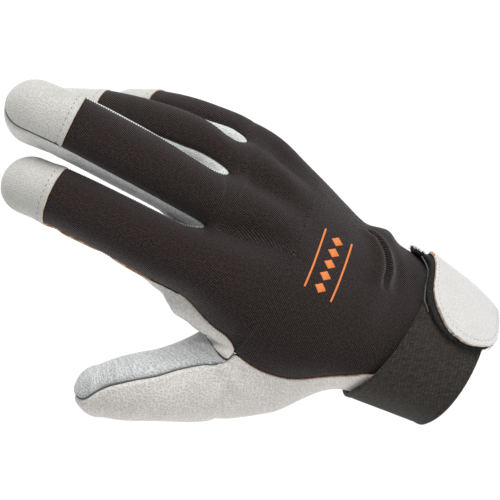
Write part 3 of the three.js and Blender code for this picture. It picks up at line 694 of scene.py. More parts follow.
# The fingertip caps. A cap of light grey pebbled leather covers each fingertip's back. Its straight
# edge is left raw and lies over the knit, held by one row of stitches 2 mm in. Round the tip it is
# turned in and sewn to the palm leather.
def leather(name, colour, pit_shade_and_tone, grain, depth, roughness=0.5, crease=0.0, lie=(0.16, 0.42, 1.2)):
    """Grain leather: small long pits in uneven rows, grain mm apart, a soft swell between them, and
    fine creases, their counts per mm along and across the piece and their turn given by lie. The pits and
    the creases are painted in the darker colour as painted shade; the rest of the change between the two
    colours is the leather's uneven tone."""
    material, tree, shader = finish(name, colour, roughness, Specular_IOR_Level=0.3)
    flat = node(tree, "UVMap", uv_map="cloth").outputs[0]
    drift = node(tree, "TexNoise", {"Vector": flat, "Scale": 0.25 / grain, "Detail": 2.0})
    bent = node(tree, "VectorMath", {0: drift.outputs["Color"], 1: (2.2 * grain,) * 3},
                operation="MULTIPLY")
    spot = node(tree, "VectorMath", {0: flat, 1: bent.outputs[0]}, operation="ADD")
    stretch = node(tree, "Mapping", {"Vector": spot.outputs[0], "Scale": (0.75, 1, 1)})
    cells = node(tree, "TexVoronoi", {"Vector": stretch.outputs[0], "Scale": 1 / grain,
                                      "Randomness": 0.7}, voronoi_dimensions="2D")
    pits = node(tree, "MapRange", {"Value": cells.outputs["Distance"], 1: 0.05, 2: 0.55},
                interpolation_type="SMOOTHSTEP")
    long = node(tree, "Mapping", {"Vector": flat, "Scale": (lie[0], lie[1], 1), "Rotation": (0, 0, lie[2])})
    lines = node(tree, "TexNoise", {"Vector": long.outputs[0], "Scale": 1.0, "Detail": 4.0,
                                    "Roughness": 0.6, "Distortion": 1.2})
    height = node(tree, "Math", {0: lines.outputs["Fac"], 1: crease, 2: pits.outputs[0]},
                  operation="MULTIPLY_ADD")
    tone = node(tree, "TexNoise", {"Vector": flat, "Scale": 0.12, "Detail": 3.0})
    painted_crease_shade = node(tree, "MapRange", {"Value": lines.outputs["Fac"], 1: 0.34, 2: 0.52,
                                     3: 0.1 - 0.4 * min(crease, 1), 4: 0.1})
    # Painted shade: pit middles and crease furrows take the darker colour.
    share = node(tree, "Math", {0: pits.outputs[0], 1: 0.6, 2: painted_crease_shade.outputs[0]}, operation="MULTIPLY_ADD")
    total = node(tree, "Math", {0: tone.outputs["Fac"], 1: 0.5, 2: share.outputs[0]},
                 operation="MULTIPLY_ADD", use_clamp=True)
    two_colours(tree, shader, total.outputs[0], pit_shade_and_tone, colour)
    bump = node(tree, "Bump", {"Strength": 1.0, "Distance": depth * MM, "Height": height.outputs[0]})
    tree.links.new(bump.outputs[0], shader.inputs["Normal"])
    return material


def cut_edge(name, warm, pale):
    """The raw edge of leather: a thin line, uneven along its length between a warm and a pale tone."""
    material, tree, shader = finish(name, warm, 0.85)
    place = node(tree, "TexCoord").outputs["Object"]
    patchy = node(tree, "TexNoise", {"Vector": place, "Scale": 420.0, "Detail": 2.0})
    sharp = node(tree, "MapRange", {"Value": patchy.outputs["Fac"], 1: 0.35, 2: 0.65})
    two_colours(tree, shader, sharp.outputs[0], warm, pale)
    return material


def thread(name, colour):
    """Twisted sewing thread with a faint lengthwise unevenness."""
    material, tree, shader = finish(name, colour, 0.6, Sheen_Weight=0.2)
    place = node(tree, "TexCoord").outputs["Object"]
    twist = node(tree, "TexWave", {"Vector": place, "Scale": 900.0, "Distortion": 1.0})
    bump = node(tree, "Bump", {"Strength": 0.5, "Distance": 0.04 * MM, "Height": twist.outputs["Fac"]})
    tree.links.new(bump.outputs[0], shader.inputs["Normal"])
    return material


def tube_faces(rings, around):
    """Triangles of a tube closed at both ends, whose points run round each ring in turn."""
    k, j = np.meshgrid(np.arange(rings - 1), np.arange(around), indexing="ij")
    a, b = (k * around + j).ravel(), (k * around + (j + 1) % around).ravel()
    fan = np.arange(1, around - 1)
    end = np.stack([0 * fan, fan + 1, fan], -1)
    return np.concatenate([np.stack([a, b, b + around], -1), np.stack([a, b + around, a + around], -1),
                           end, end[:, ::-1] + around * (rings - 1)])


def repeated(name, points, one, count, material):
    """A mesh of count equal forms of one material, the faces of the first given."""
    points = points.reshape(-1, 3)
    faces = (one[None] + len(points) // count * np.arange(count)[:, None, None]).reshape(-1, 3)
    return into_mesh(name, points, faces, points[:, :2], np.zeros(len(faces), int), (material,))


def stitches(name, path, surface, length, gap, radius, sink, material, crosswise=False):
    """A row of stitches along a path on a surface piece, or across it: each is a bead of 6 sides and 5
    rings, its radius root(1 - t^4) along it, lying on the nearest face and sunk into it a little."""
    path = path.reshape(-1, 3)
    steps = np.r_[0, np.linalg.norm(np.diff(path, axis=0), axis=1).cumsum()]
    count = max(int(steps[-1] / (length + gap)), 1)
    at = (np.arange(count) + 0.5) * steps[-1] / count
    middle = np.stack([np.interp(at, steps, path[:, k]) for k in range(3)], -1)
    ahead = np.stack([np.interp(at + 0.3, steps, path[:, k]) for k in range(3)], -1)
    behind = np.stack([np.interp(at - 0.3, steps, path[:, k]) for k in range(3)], -1)
    along = unit(ahead - behind)
    mesh = surface.data
    places, normals = np.empty((len(mesh.vertices), 3)), np.empty((len(mesh.vertices), 3))
    mesh.vertices.foreach_get("co", places.ravel())
    mesh.vertices.foreach_get("normal", normals.ravel())
    places /= MM
    outer = len(places) // 2
    near = ((middle[:, None] - places[None, :outer]) ** 2).sum(-1).argmin(1)
    up = unit(normals[near] - along * (normals[near] * along).sum(1, keepdims=True))
    drop = ((places[near] - middle) * up).sum(1, keepdims=True)
    middle = middle + up * (drop - sink)
    side = np.cross(along, up)
    if crosswise:
        along, side = side, -along
    t = np.linspace(-1, 1, 5)
    angle = np.radians(np.arange(0, 360, 60))
    round_off = radius * np.sqrt(np.maximum(1 - t**4, 0.02))
    ring = along[:, None, None] * (t * length / 2)[None, :, None, None] \
        + side[:, None, None] * (round_off[:, None] * np.cos(angle))[None, :, :, None] \
        + up[:, None, None] * (0.7 * round_off[:, None] * np.sin(angle))[None, :, :, None]
    return repeated(name, middle[:, None, None] + ring, tube_faces(5, 6)[:, ::-1], count, material)


def cord(name, path, radius, material):
    """A round cord along a path: rings of six points square to it, closed at both ends."""
    path = path.reshape(-1, 3)
    along = unit(np.gradient(path, axis=0))
    side = unit(np.cross(along, (0.35, 0.25, 0.9)))
    other = np.cross(along, side)
    angle = np.radians(np.arange(0, 360, 60))
    ring = side[:, None] * np.cos(angle)[None, :, None] + other[:, None] * np.sin(angle)[None, :, None]
    return repeated(name, path[:, None] + radius * ring, tube_faces(len(path), 6), 1, material)


CAP_WALL = 0.8
CAP_LIFT = 0.6                # the raw edge lies over the knit
CAP_STITCHES = 2.3            # how far the stitches are from the raw edge
SEAM_SHADOW_CORD = 0.22              # radius of the dark cord laid in the turned seams, a painted shadow for the seam's dark line
cap_leather = leather("cap leather", rgb(196, 195, 190), rgb(164, 164, 160), 0.8, 0.09, 0.5)
raw_edge = cut_edge("raw leather edge", rgb(172, 106, 56), rgb(224, 196, 162))
flesh = leather("leather inside", rgb(196, 190, 180), rgb(170, 164, 152), 0.5, 0.1, 0.9)
grey_thread = thread("grey thread", rgb(128, 127, 124))
# The dark grey seam cord is a painted shadow: it stands for the dark line of shade in the turned seams.
seam_shadow_thread = thread("seam shadow thread", rgb(84, 85, 88))

for name in RAYS:
    start = CAP_START[name]
    straight = back_surface(name, np.full((1, 1), start), columns(40)).reshape(-1, 3)

    def cap_relief(points, straight=straight):
        """Raised at the straight edge, a faint groove along the stitches, drawn down at the seam."""
        away = distance(points, straight)
        seam = distance(points, FINGER_SEAMS)
        height = CAP_LIFT * (1 - ease(0, 7, away)) * ease(0, 2.5, seam)
        height -= 0.16 * np.exp(-((away - CAP_STITCHES) / 0.6) ** 2)
        return height - 0.8 * np.exp(-((seam / 0.9) ** 2)) * ease(0, 1.5, away)

    cap = sewn(f"{name}_cap", [(back_surface(name, rows_between(start, finger_end(name), name),
                                             columns(30)), False)],
               CAP_WALL, (cap_leather, raw_edge, flesh), cap_relief)
    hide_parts(f"{name}_fingertip_cap")
    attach(cap, "root")
    line = back_surface(name, np.full((1, 1), start + CAP_STITCHES), np.linspace(0.03, 0.97, 60)[None, :])
    row = stitches(f"{name}_cap_stitches", line, cap, 1.25, 1.0, 0.2, 0.02, grey_thread)
    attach(row, "root")
    near, rows = seam_path(name, 0, start + 0.5, finger_end(name))
    far = seam_path(name, 1, start + 0.5, finger_end(name))[0]
    # A dark cord sunk in the seam round the tip: painted shadow for the seam's dark line.
    tip_seam_shadow = cord(f"{name}_tip_seam_shadow", sunk(name, np.concatenate([near, far[-2::-1]]),
                                             np.concatenate([rows, rows[-2::-1]])[:, 0], 0.5),
                    SEAM_SHADOW_CORD, seam_shadow_thread)
    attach(tip_seam_shadow, "root")


# The palm leather. One piece of off-white grain leather makes the palm, the finger fronts and the wrap
# that comes round beside the index finger, where its raw edge lies over the knit.
PALM_WALL = 1.0
WEB_FOLD = 6                  # the web's leather stands out beside the index finger
WEB_NARROW = 121.5            # u at which that fold is narrowest
EDGE_LIFT = 0.6               # the raw edge lies over the knit
palm_leather = leather("palm leather", rgb(220, 217, 213), rgb(192, 188, 184), 0.9, 0.08, 0.5, 0.3)


def palm_surface(name, row, v):
    """The palm side of one finger, v running from the thumb side to the other."""
    before, beyond = fork_beside(name, -1), fork_beside(name, 1)
    first = row_at(before, row, 1.0)
    last = row_at(beyond, row, 1.0) if beyond else row
    wrap = 360 + WRAP_ANGLE

    def section(w):
        u = first + w * (last - first)
        start = wrap if name == "index" else 180 - turn_at(SPLIT[before])
        end = 180 - turn_at(SPLIT[beyond]) if beyond else \
            KNIT_EDGE("other_side", u) + CUFF_SLIT * (1 - ease(46, 62, u))
        low = wrap if name == "index" else 360 - seam_turn(name, u, SEAM_PALM)
        high = seam_turn(name, u, SEAM_EDGE if name == "little" else SEAM_PALM)
        return blend(name, u, start + w * (end - start), low + w * (high - low))

    return drawn(section, v, fork_side(before, name, first, 1.0),
                 fork_side(beyond, name, last, 1.0) if beyond else None)


def web_wrap(row, q):
    """The wrap from the palm round to the knit's edge, standing out by sin(pi q) beside the index."""
    u = row_at("thumb_index", row, q)
    fold = WEB_FOLD * np.sin(np.pi * q) * ease(106, 118, u) * (1 - ease(118, 137, u))
    return fork_side("thumb_index", "index", u, q) - fold[..., None] * (0, 1, 0)


def palm_seams():
    """Where the palm leather meets the leather between the fingers and the thumb piece."""
    paths = []
    for fork in ("index_middle", "middle_ring", "ring_little"):
        for name in fork.split("_"):
            rows = rows_between(FORKS[fork][0], finger_end(name), name)
            paths.append(fork_side(fork, name, row_at(fork, rows, 1.0), 1.0).reshape(-1, 3))
    rows = rows_between(CUFF_START, FORKS["thumb_index"][0])
    paths.append(fork_side("thumb_index", "index", row_at("thumb_index", rows, 1.0), 1.0).reshape(-1, 3))
    return np.concatenate(paths)


PALM_SEAMS = palm_seams()
WEB_SEAM = fork_side("thumb_index", "index", fork_start("thumb_index", columns(60)), columns(60))


WRAP_FOLDS = (                # in the web, beside the index finger: path, depth (negative stands up), width
    (through((-96.6, -41.9, -10.3), (-95.2, -42.9, -8.5), (-93.5, -43.7, -6.9), (-91.3, -43.6, -5.8)),
     0.9, 0.9),
    (through((-94.4, -44.5, -9.0), (-93.0, -45.7, -8.2), (-91.3, -46.1, -7.2), (-89.4, -45.9, -6.3)),
     -0.9, 1.5))


def palm_relief(points):
    """Seams drawn in, the raw edge raised over the knit, and the hand's own creases on the palm."""
    u, y = -points[:, 0], points[:, 1]
    low = ease(6, 14, -points[:, 2])
    height = valley(points, PALM_SEAMS, 0.8, 1.1) + valley(points, FINGER_SEAMS, 0.6, 1.0)
    height += valley(points, WEB_SEAM, 1.2, 0.9) * (1 - 0.7 * ease(90, 95, u))
    height += EDGE_LIFT * (1 - ease(0, 4, distance(points, THUMB_EDGE)))
    for path, depth, width in WRAP_FOLDS:
        height += valley(points, path, depth, width)
    for at, slant, depth, width in PALM_CREASES:
        height -= low * depth * np.exp(-((u - at - slant * y) / width) ** 2)
    return height + 0.2 * np.sin(u / 5 + y / 9) * np.sin(y / 6 - u / 17) * low


def web_softness(points):
    """Most on the narrow fold of the web beside the index finger, and hardly any 8 mm further along."""
    along = np.exp(-((points[:, 0] + WEB_NARROW) / 5) ** 2)
    return 0.8 * along * ease(24, 30, -points[:, 1]) * ease(2, 6, -points[:, 2])


PALM_CREASES = (              # u at the middle, slant, depth, width
    (99, 0.12, 0.9, 2.2),
    (84, -0.25, 0.8, 2.0),
    (126, 0.10, 0.7, 2.0),
    (150, 0.05, 0.8, 2.4),
    (169, 0.02, 0.6, 2.2))

palm = sewn("palm_leather", [
    (gaping(palm_surface(name, rows_between(CUFF_START, finger_end(name), name), columns(26)),
            PALM_GAPE), True) for name in RAYS] + [
    (web_wrap(rows_between(FORKS["thumb_index"][0], finger_end("index"), "index"), columns(60)), True)],
    PALM_WALL, (palm_leather, raw_edge, flesh), palm_relief, soft=web_softness)
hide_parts("palm_panel")
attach(palm, "root")


# The leather between the fingers. A folded strip of thin white leather lines each fork and runs up the
# facing sides of both fingers. It is creased where the fork bends it.
GUSSET_WALL = 1.0
gusset_leather = leather("finger side leather", rgb(218, 219, 217), rgb(180, 183, 184), 0.9, 0.12, 0.5, 1.2)

for fork in ("index_middle", "middle_ring", "ring_little"):
    first, second = fork.split("_")
    crotch = fork_side(fork, first, fork_start(fork, columns(30)), columns(30))

    def gusset_relief(points, crotch=crotch):
        """Seams drawn in, and short creases fanning out of the fork."""
        away = distance(points, crotch)
        height = valley(points, FINGER_SEAMS, 0.5, 0.8) + valley(points, PALM_SEAMS, 0.5, 0.9)
        fan = np.sin(points[:, 0] * 2.1 + points[:, 2] * 0.9 + 1.5 * np.sin(points[:, 2] / 3))
        return height + 0.22 * fan * np.exp(-away / 9) * ease(0.5, 3, away)

    sides = []
    for name, flip in ((first, False), (second, True)):
        rows = rows_between(FORKS[fork][0], FINGERS[name].end + 1.0)
        sides.append((fork_side(fork, name, row_at(fork, rows, columns(14)), columns(14)), flip))
    gusset = sewn(f"{fork}_gusset_leather", sides, GUSSET_WALL, (gusset_leather, gusset_leather, flesh),
                  gusset_relief, rim=0.1)
    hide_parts(f"{fork}_gusset")
    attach(gusset, "root")


# The thumb. An outer piece of pebbled leather runs from the cuff over the back of the thumb, and a
# smoother, bluish grey inner piece faces the index finger. They meet in a turned seam with thin
# folds across it.
THUMB_WALL = 1.2
thumb_leather = leather("thumb leather", rgb(214, 211, 206), rgb(166, 161, 156), 0.82, 0.11, 0.5)
inner_leather = leather("thumb inner leather", rgb(204, 205, 205), rgb(138, 141, 143), 0.7, 0.14, 0.42, 1.8,
                        (0.8, 0.10, 0.3))


def thumb_outer_surface(row, v):
    """The outer thumb, from the knit's edge and the upper seam round to the palm."""
    def section(w):
        u = row + w * (row_at("thumb_index", row, 1.0) - row)
        edge, seam = KNIT_EDGE("thumb_side", u), THUMB_SEAM("turn", u)
        return blend("thumb", u, edge + w * (WRAP_ANGLE - edge), seam + w * (THUMB_PALM_SEAM - seam))

    return drawn(section, v, fork_side("thumb_index", "thumb", row, 0.0),
                 fork_side("thumb_index", "thumb", row_at("thumb_index", row, 1.0), 1.0), 3.5)


def thumb_inner_surface(row, q):
    """The inner thumb, from the upper seam round to the palm's seam."""
    return fork_side("thumb_index", "thumb", row_at("thumb_index", row, q), q)


thumb_rows = rows_between(FORKS["thumb_index"][0], finger_end("thumb"), "thumb")
THUMB_TOP_SEAM = thumb_inner_surface(thumb_rows, 0.0 * thumb_rows)
THUMB_LOW_SEAM = thumb_inner_surface(thumb_rows, 0.0 * thumb_rows + 1)
WEB_FOLDS = (                 # path, depth (negative stands up), width
    (through((-100.3, -45.2, -13.6), (-98.1, -47.2, -11.5), (-95.7, -49.1, -9.9), (-93.2, -51.0, -8.8)),
     0.9, 0.8),
    (through((-94.6, -48.6, -9.3), (-93.8, -49.5, -9.0), (-92.1, -51.1, -8.3)), 0.6, 0.7),
    (through((-98.5, -44.0, -12.0), (-95.8, -47.0, -9.6), (-93.0, -49.2, -8.4)), -0.5, 1.4))
THUMB_FOLDS = (
    (through((-88.0, -50.5, -7.8), (-80.0, -53.0, -9.6), (-71.0, -53.0, -13.2)), -0.9, 2.6),
    (through((-90.5, -54.0, -9.0), (-83.0, -57.5, -11.8), (-76.0, -58.5, -15.0)), 0.7, 2.2),
    (through((-118.0, -66.5, -22.0), (-112.0, -68.5, -20.5), (-105.0, -70.0, -19.5)), -0.5, 1.8))


def thumb_relief(points):
    """Seams drawn in, the raw edge raised over the knit, the web's folds, and fine folds across the
    upper seam that die out away from it."""
    seam = distance(points, THUMB_TOP_SEAM)
    height = -0.85 * np.exp(-((seam / 0.8) ** 2)) + 0.25 * np.exp(-(((seam - 2.0) / 1.2) ** 2))
    height += valley(points, THUMB_LOW_SEAM, 0.7, 1.0) + valley(points, PALM_SEAMS, 0.7, 1.0)
    height += valley(points, WEB_SEAM, 1.8, 1.0) * (1 - 0.8 * ease(90, 95, -points[:, 0]))
    height += EDGE_LIFT * (1 - ease(0, 4, distance(points, THUMB_EDGE)))
    for path, depth, width in WEB_FOLDS + THUMB_FOLDS:
        height += valley(points, path, depth, width)
    along = points @ np.array((-0.80, -0.52, -0.30))
    pucker = np.sin(along * 2.4 + 1.3 * np.sin(along / 2.9)) * np.exp(-seam / 5)
    return height + 0.13 * pucker * ease(0.4, 1.6, seam)


thumb_outer = sewn("thumb_outer_leather", [
    (thumb_outer_surface(rows_between(CUFF_START, finger_end("thumb"), "thumb"), columns(70)), True)],
    THUMB_WALL, (thumb_leather, raw_edge, flesh), thumb_relief)
thumb_inner = sewn("thumb_inner_leather", [(thumb_inner_surface(thumb_rows, columns(44)), False)],
                   THUMB_WALL, (inner_leather, inner_leather, flesh), thumb_relief)
for piece, part, slot in ((thumb_outer, "thumb_outer", "palm_leather"),
                          (thumb_inner, "thumb_inner", "thumb_leather")):
    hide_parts(part)
    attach(piece, "root")


# A dark cord sunk in the thumb's upper seam: painted shadow for the seam's dark line.
keep = thumb_rows[:, 0] > FORKS["thumb_index"][0] + 2
thumb_line = sunk("thumb", THUMB_TOP_SEAM.reshape(-1, 3)[keep], thumb_rows[keep, 0], 0.55)
thumb_seam_shadow = cord("thumb_seam_shadow", thumb_line, SEAM_SHADOW_CORD, seam_shadow_thread)
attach(thumb_seam_shadow, "root")


# The border stitches. Small black stitches bind the knit's cut edge to the leather between the fingers,
# so that the edge looks toothed against the white. On the palm and thumb leather, short tan fibres
# stand along the raw edge.
black_thread = thread("black thread", rgb(30, 26, 27))
edge_fibres = thread("raw edge fibres", rgb(176, 118, 78))
for name in RAYS:
    for side in (0, 1):
        if (name, side) not in (("index", 0), ("little", 1)):
            path = seam_path(name, side, seam_start(name, side) + 0.6, CAP_START[name] - 0.5)[0]
            row = stitches(f"{name}_border_stitches_{side}", path, knit_back, 1.3, -0.3, 0.2, 0.0,
                           black_thread, True)
            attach(row, "root")
for piece, low, high in ((thumb_outer, CUFF_START + 2, FORKS["thumb_index"][0]),
                         (palm, FORKS["thumb_index"][0], CAP_START["index"] - 1)):
    row = stitches(f"{piece.name}_border_stitches", seam_path("index", 0, low, high)[0], piece, 0.8, 0.2,
                   0.17, 0.0, edge_fibres, True)
    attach(row, "root")


# The wrist strap. A wide woven elastic goes round the cuff: fine lengthwise ribs crossed by short
# floats, with a denser selvedge along both edges.
STRAP_WALL, STRAP_LIFT = 1.7, 0.5
STRAP_EDGE = table(("turn", "inner"), (
    (-180, 34.3), (-135, 34), (-110, 34.8), (-90, 36.6), (-57, 35.6), (-25, 33.2), (3, 30.6),
    (30, 27.2), (60, 26), (112, 26.5), (150, 33), (180, 34.3)))


def elastic_cloth():
    """Woven elastic: short grey floats in staggered rows over black."""
    black, grey = rgb(10, 8, 7), rgb(90, 84, 77)
    material, tree, shader = finish("woven elastic", black, 0.85, Sheen_Weight=0.1, Specular_IOR_Level=0.15)
    cloth = node(tree, "UVMap", uv_map="cloth")
    floats = node(tree, "TexBrick", {"Vector": cloth.outputs[0], "Color1": (1, 1, 1, 1),
                                     "Color2": (0.55, 0.55, 0.55, 1), "Mortar": (0, 0, 0, 1),
                                     "Scale": 1.0, "Mortar Size": 0.13, "Mortar Smooth": 0.9,
                                     "Brick Width": 1.25, "Row Height": 0.85})
    fluff = node(tree, "TexNoise", {"Vector": cloth.outputs[0], "Scale": 0.9, "Detail": 3.0})
    share = node(tree, "Math", {0: floats.outputs["Color"], 1: fluff.outputs["Fac"]}, operation="MULTIPLY")
    two_colours(tree, shader, share.outputs[0], black, grey)
    bump = node(tree, "Bump", {"Strength": 1.0, "Distance": 0.3 * MM, "Height": floats.outputs["Color"]})
    tree.links.new(bump.outputs[0], shader.inputs["Normal"])
    return material


def strap_edges(turn):
    """The outer edge slants by the sine of the turn, and the inner one goes in under the tab."""
    return -2.5 - 2.5 * np.sin(np.radians(turn)), STRAP_EDGE("inner", turn)


def strap_surface(turn, t):
    """The band over the cuff's sections, t running from its outer edge to its inner one."""
    low, high = strap_edges(turn)
    return palm_point(low + t * (high - low), turn, STRAP_LIFT + STRAP_WALL)


around = np.linspace(-180, 180, 301)[:, None]
EDGE_LOW = strap_surface(around, 0 * around)
EDGE_HIGH = strap_surface(around, 0 * around + 1)


def strap_relief(points):
    """A thicker selvedge along both edges and a shallow line beside it."""
    away = np.minimum(distance(points, EDGE_LOW), distance(points, EDGE_HIGH))
    return 0.22 * (1 - ease(1.6, 2.4, away)) - 0.12 * np.exp(-(((away - 2.6) / 0.5) ** 2))


elastic = elastic_cloth()
strap = sewn("elastic_strap", [(strap_surface(around, columns(56)), True)], STRAP_WALL,
             (elastic, elastic, elastic), strap_relief, rim=0.25)
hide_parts("wrist_strap")
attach(strap, "root")


# The hook pad. A pad of stiff black hook pile lies under the tab, sewn to it, and shows as a fuzzy
# border along the tab's finger side and its end.
CROWN_HEIGHT, CROWN_LOW, CROWN_HIGH = 3.2, -22, 26
FORM = ("start", "end", "near", "far", "draw", "drawn_at", "round", "reach", "droop")
TAB = dict(zip(FORM, (112, -2, -7, 30, 4.5, 100, 12, 0, 0)))
PAD = dict(zip(FORM, (112, -4, -6, 32.5, 7, 90, 12, 6, 2.3)))
PAD_WALL, TAB_WALL, LAYER_GAP = 1.4, 1.5, 0.35
PAD_LIFT = STRAP_LIFT + STRAP_WALL + LAYER_GAP
TAB_LIFT = PAD_LIFT + PAD_WALL + LAYER_GAP


def flap_surface(form, turn, t, lift):
    """A flap round the wrist. Its width shrinks by sqrt(1 - s^2.8) over its round end. On the hand's
    little-finger side it stands up along its middle by a sine, and droops past the strap's edge."""
    length = form["round"] * 2
    into = np.clip((form["end"] + length - turn) / length, 0, 1)
    far = form["far"] + form["reach"] * ease(34, 50, turn) - form["draw"] * ease(60, form["drawn_at"], turn)
    half = (far - form["near"]) / 2 * np.sqrt(np.maximum(1 - into**2.8, 0.02))
    u = (far + form["near"]) / 2 + half * (2 * t - 1)
    along = np.clip((u - CROWN_LOW) / (CROWN_HIGH - CROWN_LOW), 0, 1)
    crown = np.sin(np.pi * along) * ease(25, 75, turn)
    hang = form["droop"] * ease(28, 35, u) * ease(42, 60, turn)
    return palm_point(u, turn, lift + CROWN_HEIGHT * crown - hang)


def flap_turns(form):
    """Turns along a flap, close together where its end is rounded."""
    length = form["round"] * 2
    straight = np.linspace(form["start"], form["end"] + length, 100)[:-1]
    rounded = form["end"] + length * (1 - np.sin(np.radians(np.linspace(0, 90, 40))))
    return np.concatenate([straight, rounded])[:, None]


def flap_edge(form, lift, inset=0.0):
    """The flap's visible edge: along the finger side, round the end and back along the other side."""
    turns = flap_turns(form)
    width = form["far"] - form["near"]
    share = inset / width
    far = flap_surface(form, turns, 0 * turns + 1 - share, lift).reshape(-1, 3)
    near = flap_surface(form, turns[::-1], 0 * turns + share, lift).reshape(-1, 3)
    return np.concatenate([far, near])


def hook_cloth():
    """Black hook pile: a dense speckle of hook heads."""
    material, tree, shader = finish("hook pile", rgb(20, 20, 20), 0.85)
    place = node(tree, "TexCoord").outputs["Object"]
    heads = node(tree, "TexVoronoi", {"Vector": place, "Scale": 1600.0})
    share = node(tree, "MapRange", {"Value": heads.outputs["Distance"], 1: 0.1, 2: 0.6, 3: 1.0, 4: 0.0})
    two_colours(tree, shader, share.outputs[0], rgb(12, 12, 12), rgb(58, 57, 56))
    bump = node(tree, "Bump", {"Strength": 1.0, "Distance": 0.3 * MM, "Height": share.outputs[0]})
    tree.links.new(bump.outputs[0], shader.inputs["Normal"])
    return material


def pile(name, path, outward, count, length, radius, material, seed):
    """Short bent fibres standing round a path: each is a thin three-sided spike of four rings whose
    middle line leans over by the square of its length."""
    rng = np.random.default_rng(seed)
    path = path.reshape(-1, 3)
    pick = rng.random(count) * (len(path) - 1)
    whole = pick.astype(int)
    root = path[whole] + (path[whole + 1] - path[whole]) * (pick - whole)[:, None]
    root += rng.normal(0, 0.45, (count, 3))
    lean = unit(outward[whole] + rng.normal(0, 0.55, (count, 3)))
    bend = rng.normal(0, 0.8, (count, 3))
    size = (length * rng.uniform(0.5, 1.2, count))[:, None, None]
    t = np.linspace(0, 1, 4)[None, :, None]
    line = root[:, None] + size * (lean[:, None] * t + 0.5 * bend[:, None] * t**2)
    side = unit(np.cross(lean, (0.3, 0.5, 0.8)))
    other = np.cross(lean, side)
    angle = np.radians((0, 120, 240))
    ring = side[:, None] * np.cos(angle)[None, :, None] + other[:, None] * np.sin(angle)[None, :, None]
    thin = radius * (1 - 0.75 * np.linspace(0, 1, 4))
    points = line[:, :, None] + ring[:, None] * thin[None, :, None, None]
    return repeated(name, points, tube_faces(4, 3), count, material)


hook = hook_cloth()
pad_edge = flap_edge(PAD, PAD_LIFT + PAD_WALL)
pad = sewn("tab_hook_pad_pile", [(flap_surface(PAD, flap_turns(PAD), columns(40), PAD_LIFT + PAD_WALL),
                                  False)],
           PAD_WALL, (hook, hook, hook),
           lambda points: 0.15 * np.sin(points[:, 0] * 1.9) * np.sin(points[:, 1] * 2.1), rim=0.3)
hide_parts("tab_hook_pad")
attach(pad, "root")
PAD_MIDDLE = 50.0             # turn at the middle of the pad
middle = flap_surface(PAD, np.array([[PAD_MIDDLE]]), np.array([[0.5]]), PAD_LIFT).reshape(3)
outward = unit(unit(pad_edge - middle) + unit(pad_edge * (0, 1, 1)))
FIBRES, FIBRE_LENGTH, FIBRE_RADIUS, FIBRE_SEED = 3200, 0.55, 0.07, 7
fringe = pile("hook_fibres", pad_edge, outward, FIBRES, FIBRE_LENGTH, FIBRE_RADIUS, hook, FIBRE_SEED)
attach(fringe, "root")


# The piping. A thin grey cord edges the pad where it meets the knit.
PIPING = (                    # u and turn, from the top down
    (36.3, 41.0), (34.4, 35.0), (32.8, 29.2), (32.4, 22.0), (32.5, 15.1), (32.0, 9.0), (31.2, 4.4),
    (29.8, 2.6), (28.0, 0.4))
PIPING_LIFT, PIPING_RADIUS = 3.0, 0.32
piping_rows = table(("t", "u", "turn"), [(k, *place) for k, place in enumerate(PIPING)])
steps = np.linspace(0, len(PIPING) - 1, 90)
piping_line = palm_point(piping_rows("u", steps), piping_rows("turn", steps), PIPING_LIFT)
piping = cord("piping", piping_line, PIPING_RADIUS, thread("piping cord", rgb(74, 72, 72)))
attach(piping, "root")


# The closing tab. A tongue of white leather is sewn over the pad and closes the strap on the back of
# the wrist. Its edges are cut raw, with a line of small stitches just inside them.
tab_leather = leather("tab leather", rgb(218, 217, 215), rgb(196, 195, 193), 0.8, 0.07, 0.55, 0.2)
tab_edge = flap_edge(TAB, TAB_LIFT + TAB_WALL)
stitch_line = flap_edge(dict(TAB, end=TAB["end"] + 3), TAB_LIFT + TAB_WALL, 1.4)


def tab_relief(points):
    """A groove under the stitches and edges that turn down a little."""
    return valley(points, stitch_line, 0.28, 0.5) + valley(points, tab_edge, 0.25, 0.8)


tab_side = cut_edge("tab raw edge", rgb(190, 140, 96), rgb(226, 218, 206))
tab = sewn("tab_leather", [(flap_surface(TAB, flap_turns(TAB), columns(60), TAB_LIFT + TAB_WALL), False)],
           TAB_WALL, (tab_leather, tab_side, tab_side), tab_relief, rim=0.3)
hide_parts("strap_tab")
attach(tab, "root")
tab_stitches = stitches("tab_stitches", stitch_line, tab, 0.9, 1.1, 0.17, 0.03, grey_thread)
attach(tab_stitches, "root")


# The studio: a plain pale floor well under the glove, two large soft lights, and the camera at the
# photo's angle, which is rolled so that the fingers point left.
FLOOR_DROP = 350
bpy.ops.mesh.primitive_plane_add(size=6)
floor = bpy.context.object
floor.name = "floor"
floor.data.transform(Matrix.Translation((0, 0, cad_box[0].z - FLOOR_DROP * MM)))
floor.data.materials.append(finish("pale floor", (0.9, 0.9, 0.9), 0.9)[0])

world = bpy.data.worlds.new("studio")
world.use_nodes = True
world.node_tree.nodes["Background"].inputs["Color"].default_value = (1, 1, 1, 1)
world.node_tree.nodes["Background"].inputs["Strength"].default_value = 0.4
bpy.context.scene.world = world
bpy.context.scene.view_settings.view_transform = "Standard"

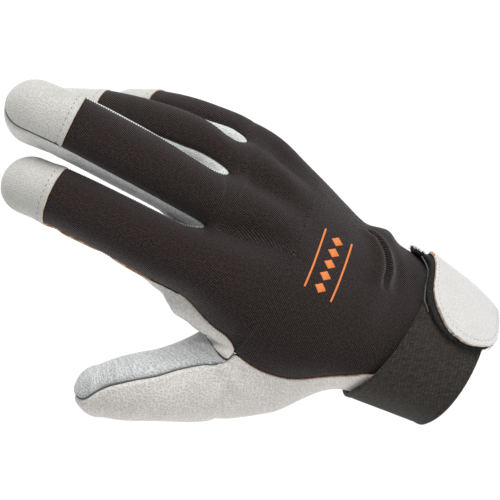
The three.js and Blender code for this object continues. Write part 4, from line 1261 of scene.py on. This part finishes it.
CAMERA_AZIMUTH, CAMERA_ELEVATION, CAMERA_ROLL = (math.radians(a) for a in (-29.225, 54.381, 56.288))
LOOK_AT = np.array((-106.0, -7.4, 0.0))
CAMERA_DISTANCE, LENS = 800, 146.5
level = np.array((math.cos(CAMERA_AZIMUTH), math.sin(CAMERA_AZIMUTH), 0))
toward = np.array((math.sin(CAMERA_AZIMUTH) * math.cos(CAMERA_ELEVATION),
                   -math.cos(CAMERA_AZIMUTH) * math.cos(CAMERA_ELEVATION), math.sin(CAMERA_ELEVATION)))
upright = np.cross(toward, level)
right = math.cos(CAMERA_ROLL) * level + math.sin(CAMERA_ROLL) * upright
up = -math.sin(CAMERA_ROLL) * level + math.cos(CAMERA_ROLL) * upright


def aimed(right, up, back, place):
    """World matrix of a camera or light whose axes and place, in millimetres, are given."""
    matrix = np.eye(4)
    matrix[:3, 0], matrix[:3, 1], matrix[:3, 2], matrix[:3, 3] = right, up, back, np.asarray(place) * MM
    return [list(row) for row in matrix]


camera = bpy.data.objects.new("camera", bpy.data.cameras.new("camera"))
bpy.context.scene.collection.objects.link(camera)
camera.matrix_world = Matrix(
    aimed(right, up, toward, LOOK_AT + toward * CAMERA_DISTANCE))
camera.data.lens = LENS
camera.data.sensor_width = 36
camera.data.shift_x, camera.data.shift_y = 0.0363, -0.0018
camera.data.clip_start, camera.data.clip_end = 0.01, 20
bpy.context.scene.camera = camera

LAMP_DISTANCE = 3000
LIGHTS = (                    # name, along the picture's right and up and straight up, size, watts
    ("key", -0.2, 0.8, 0.7, 2000, 96),
    ("fill", 0.3, -0.9, 0.5, 2200, 44))
for name, sideways, upwards, overhead, size, power in LIGHTS:
    back = unit(right * sideways + up * upwards + np.array((0, 0, overhead)))
    side = unit(np.cross((0, 0, 1), back))
    lamp = bpy.data.objects.new(name, bpy.data.lights.new(name, "AREA"))
    bpy.context.scene.collection.objects.link(lamp)
    lamp.data.size, lamp.data.energy = size * MM, power
    lamp.matrix_world = Matrix(
        aimed(side, np.cross(back, side), back, LOOK_AT + back * LAMP_DISTANCE))
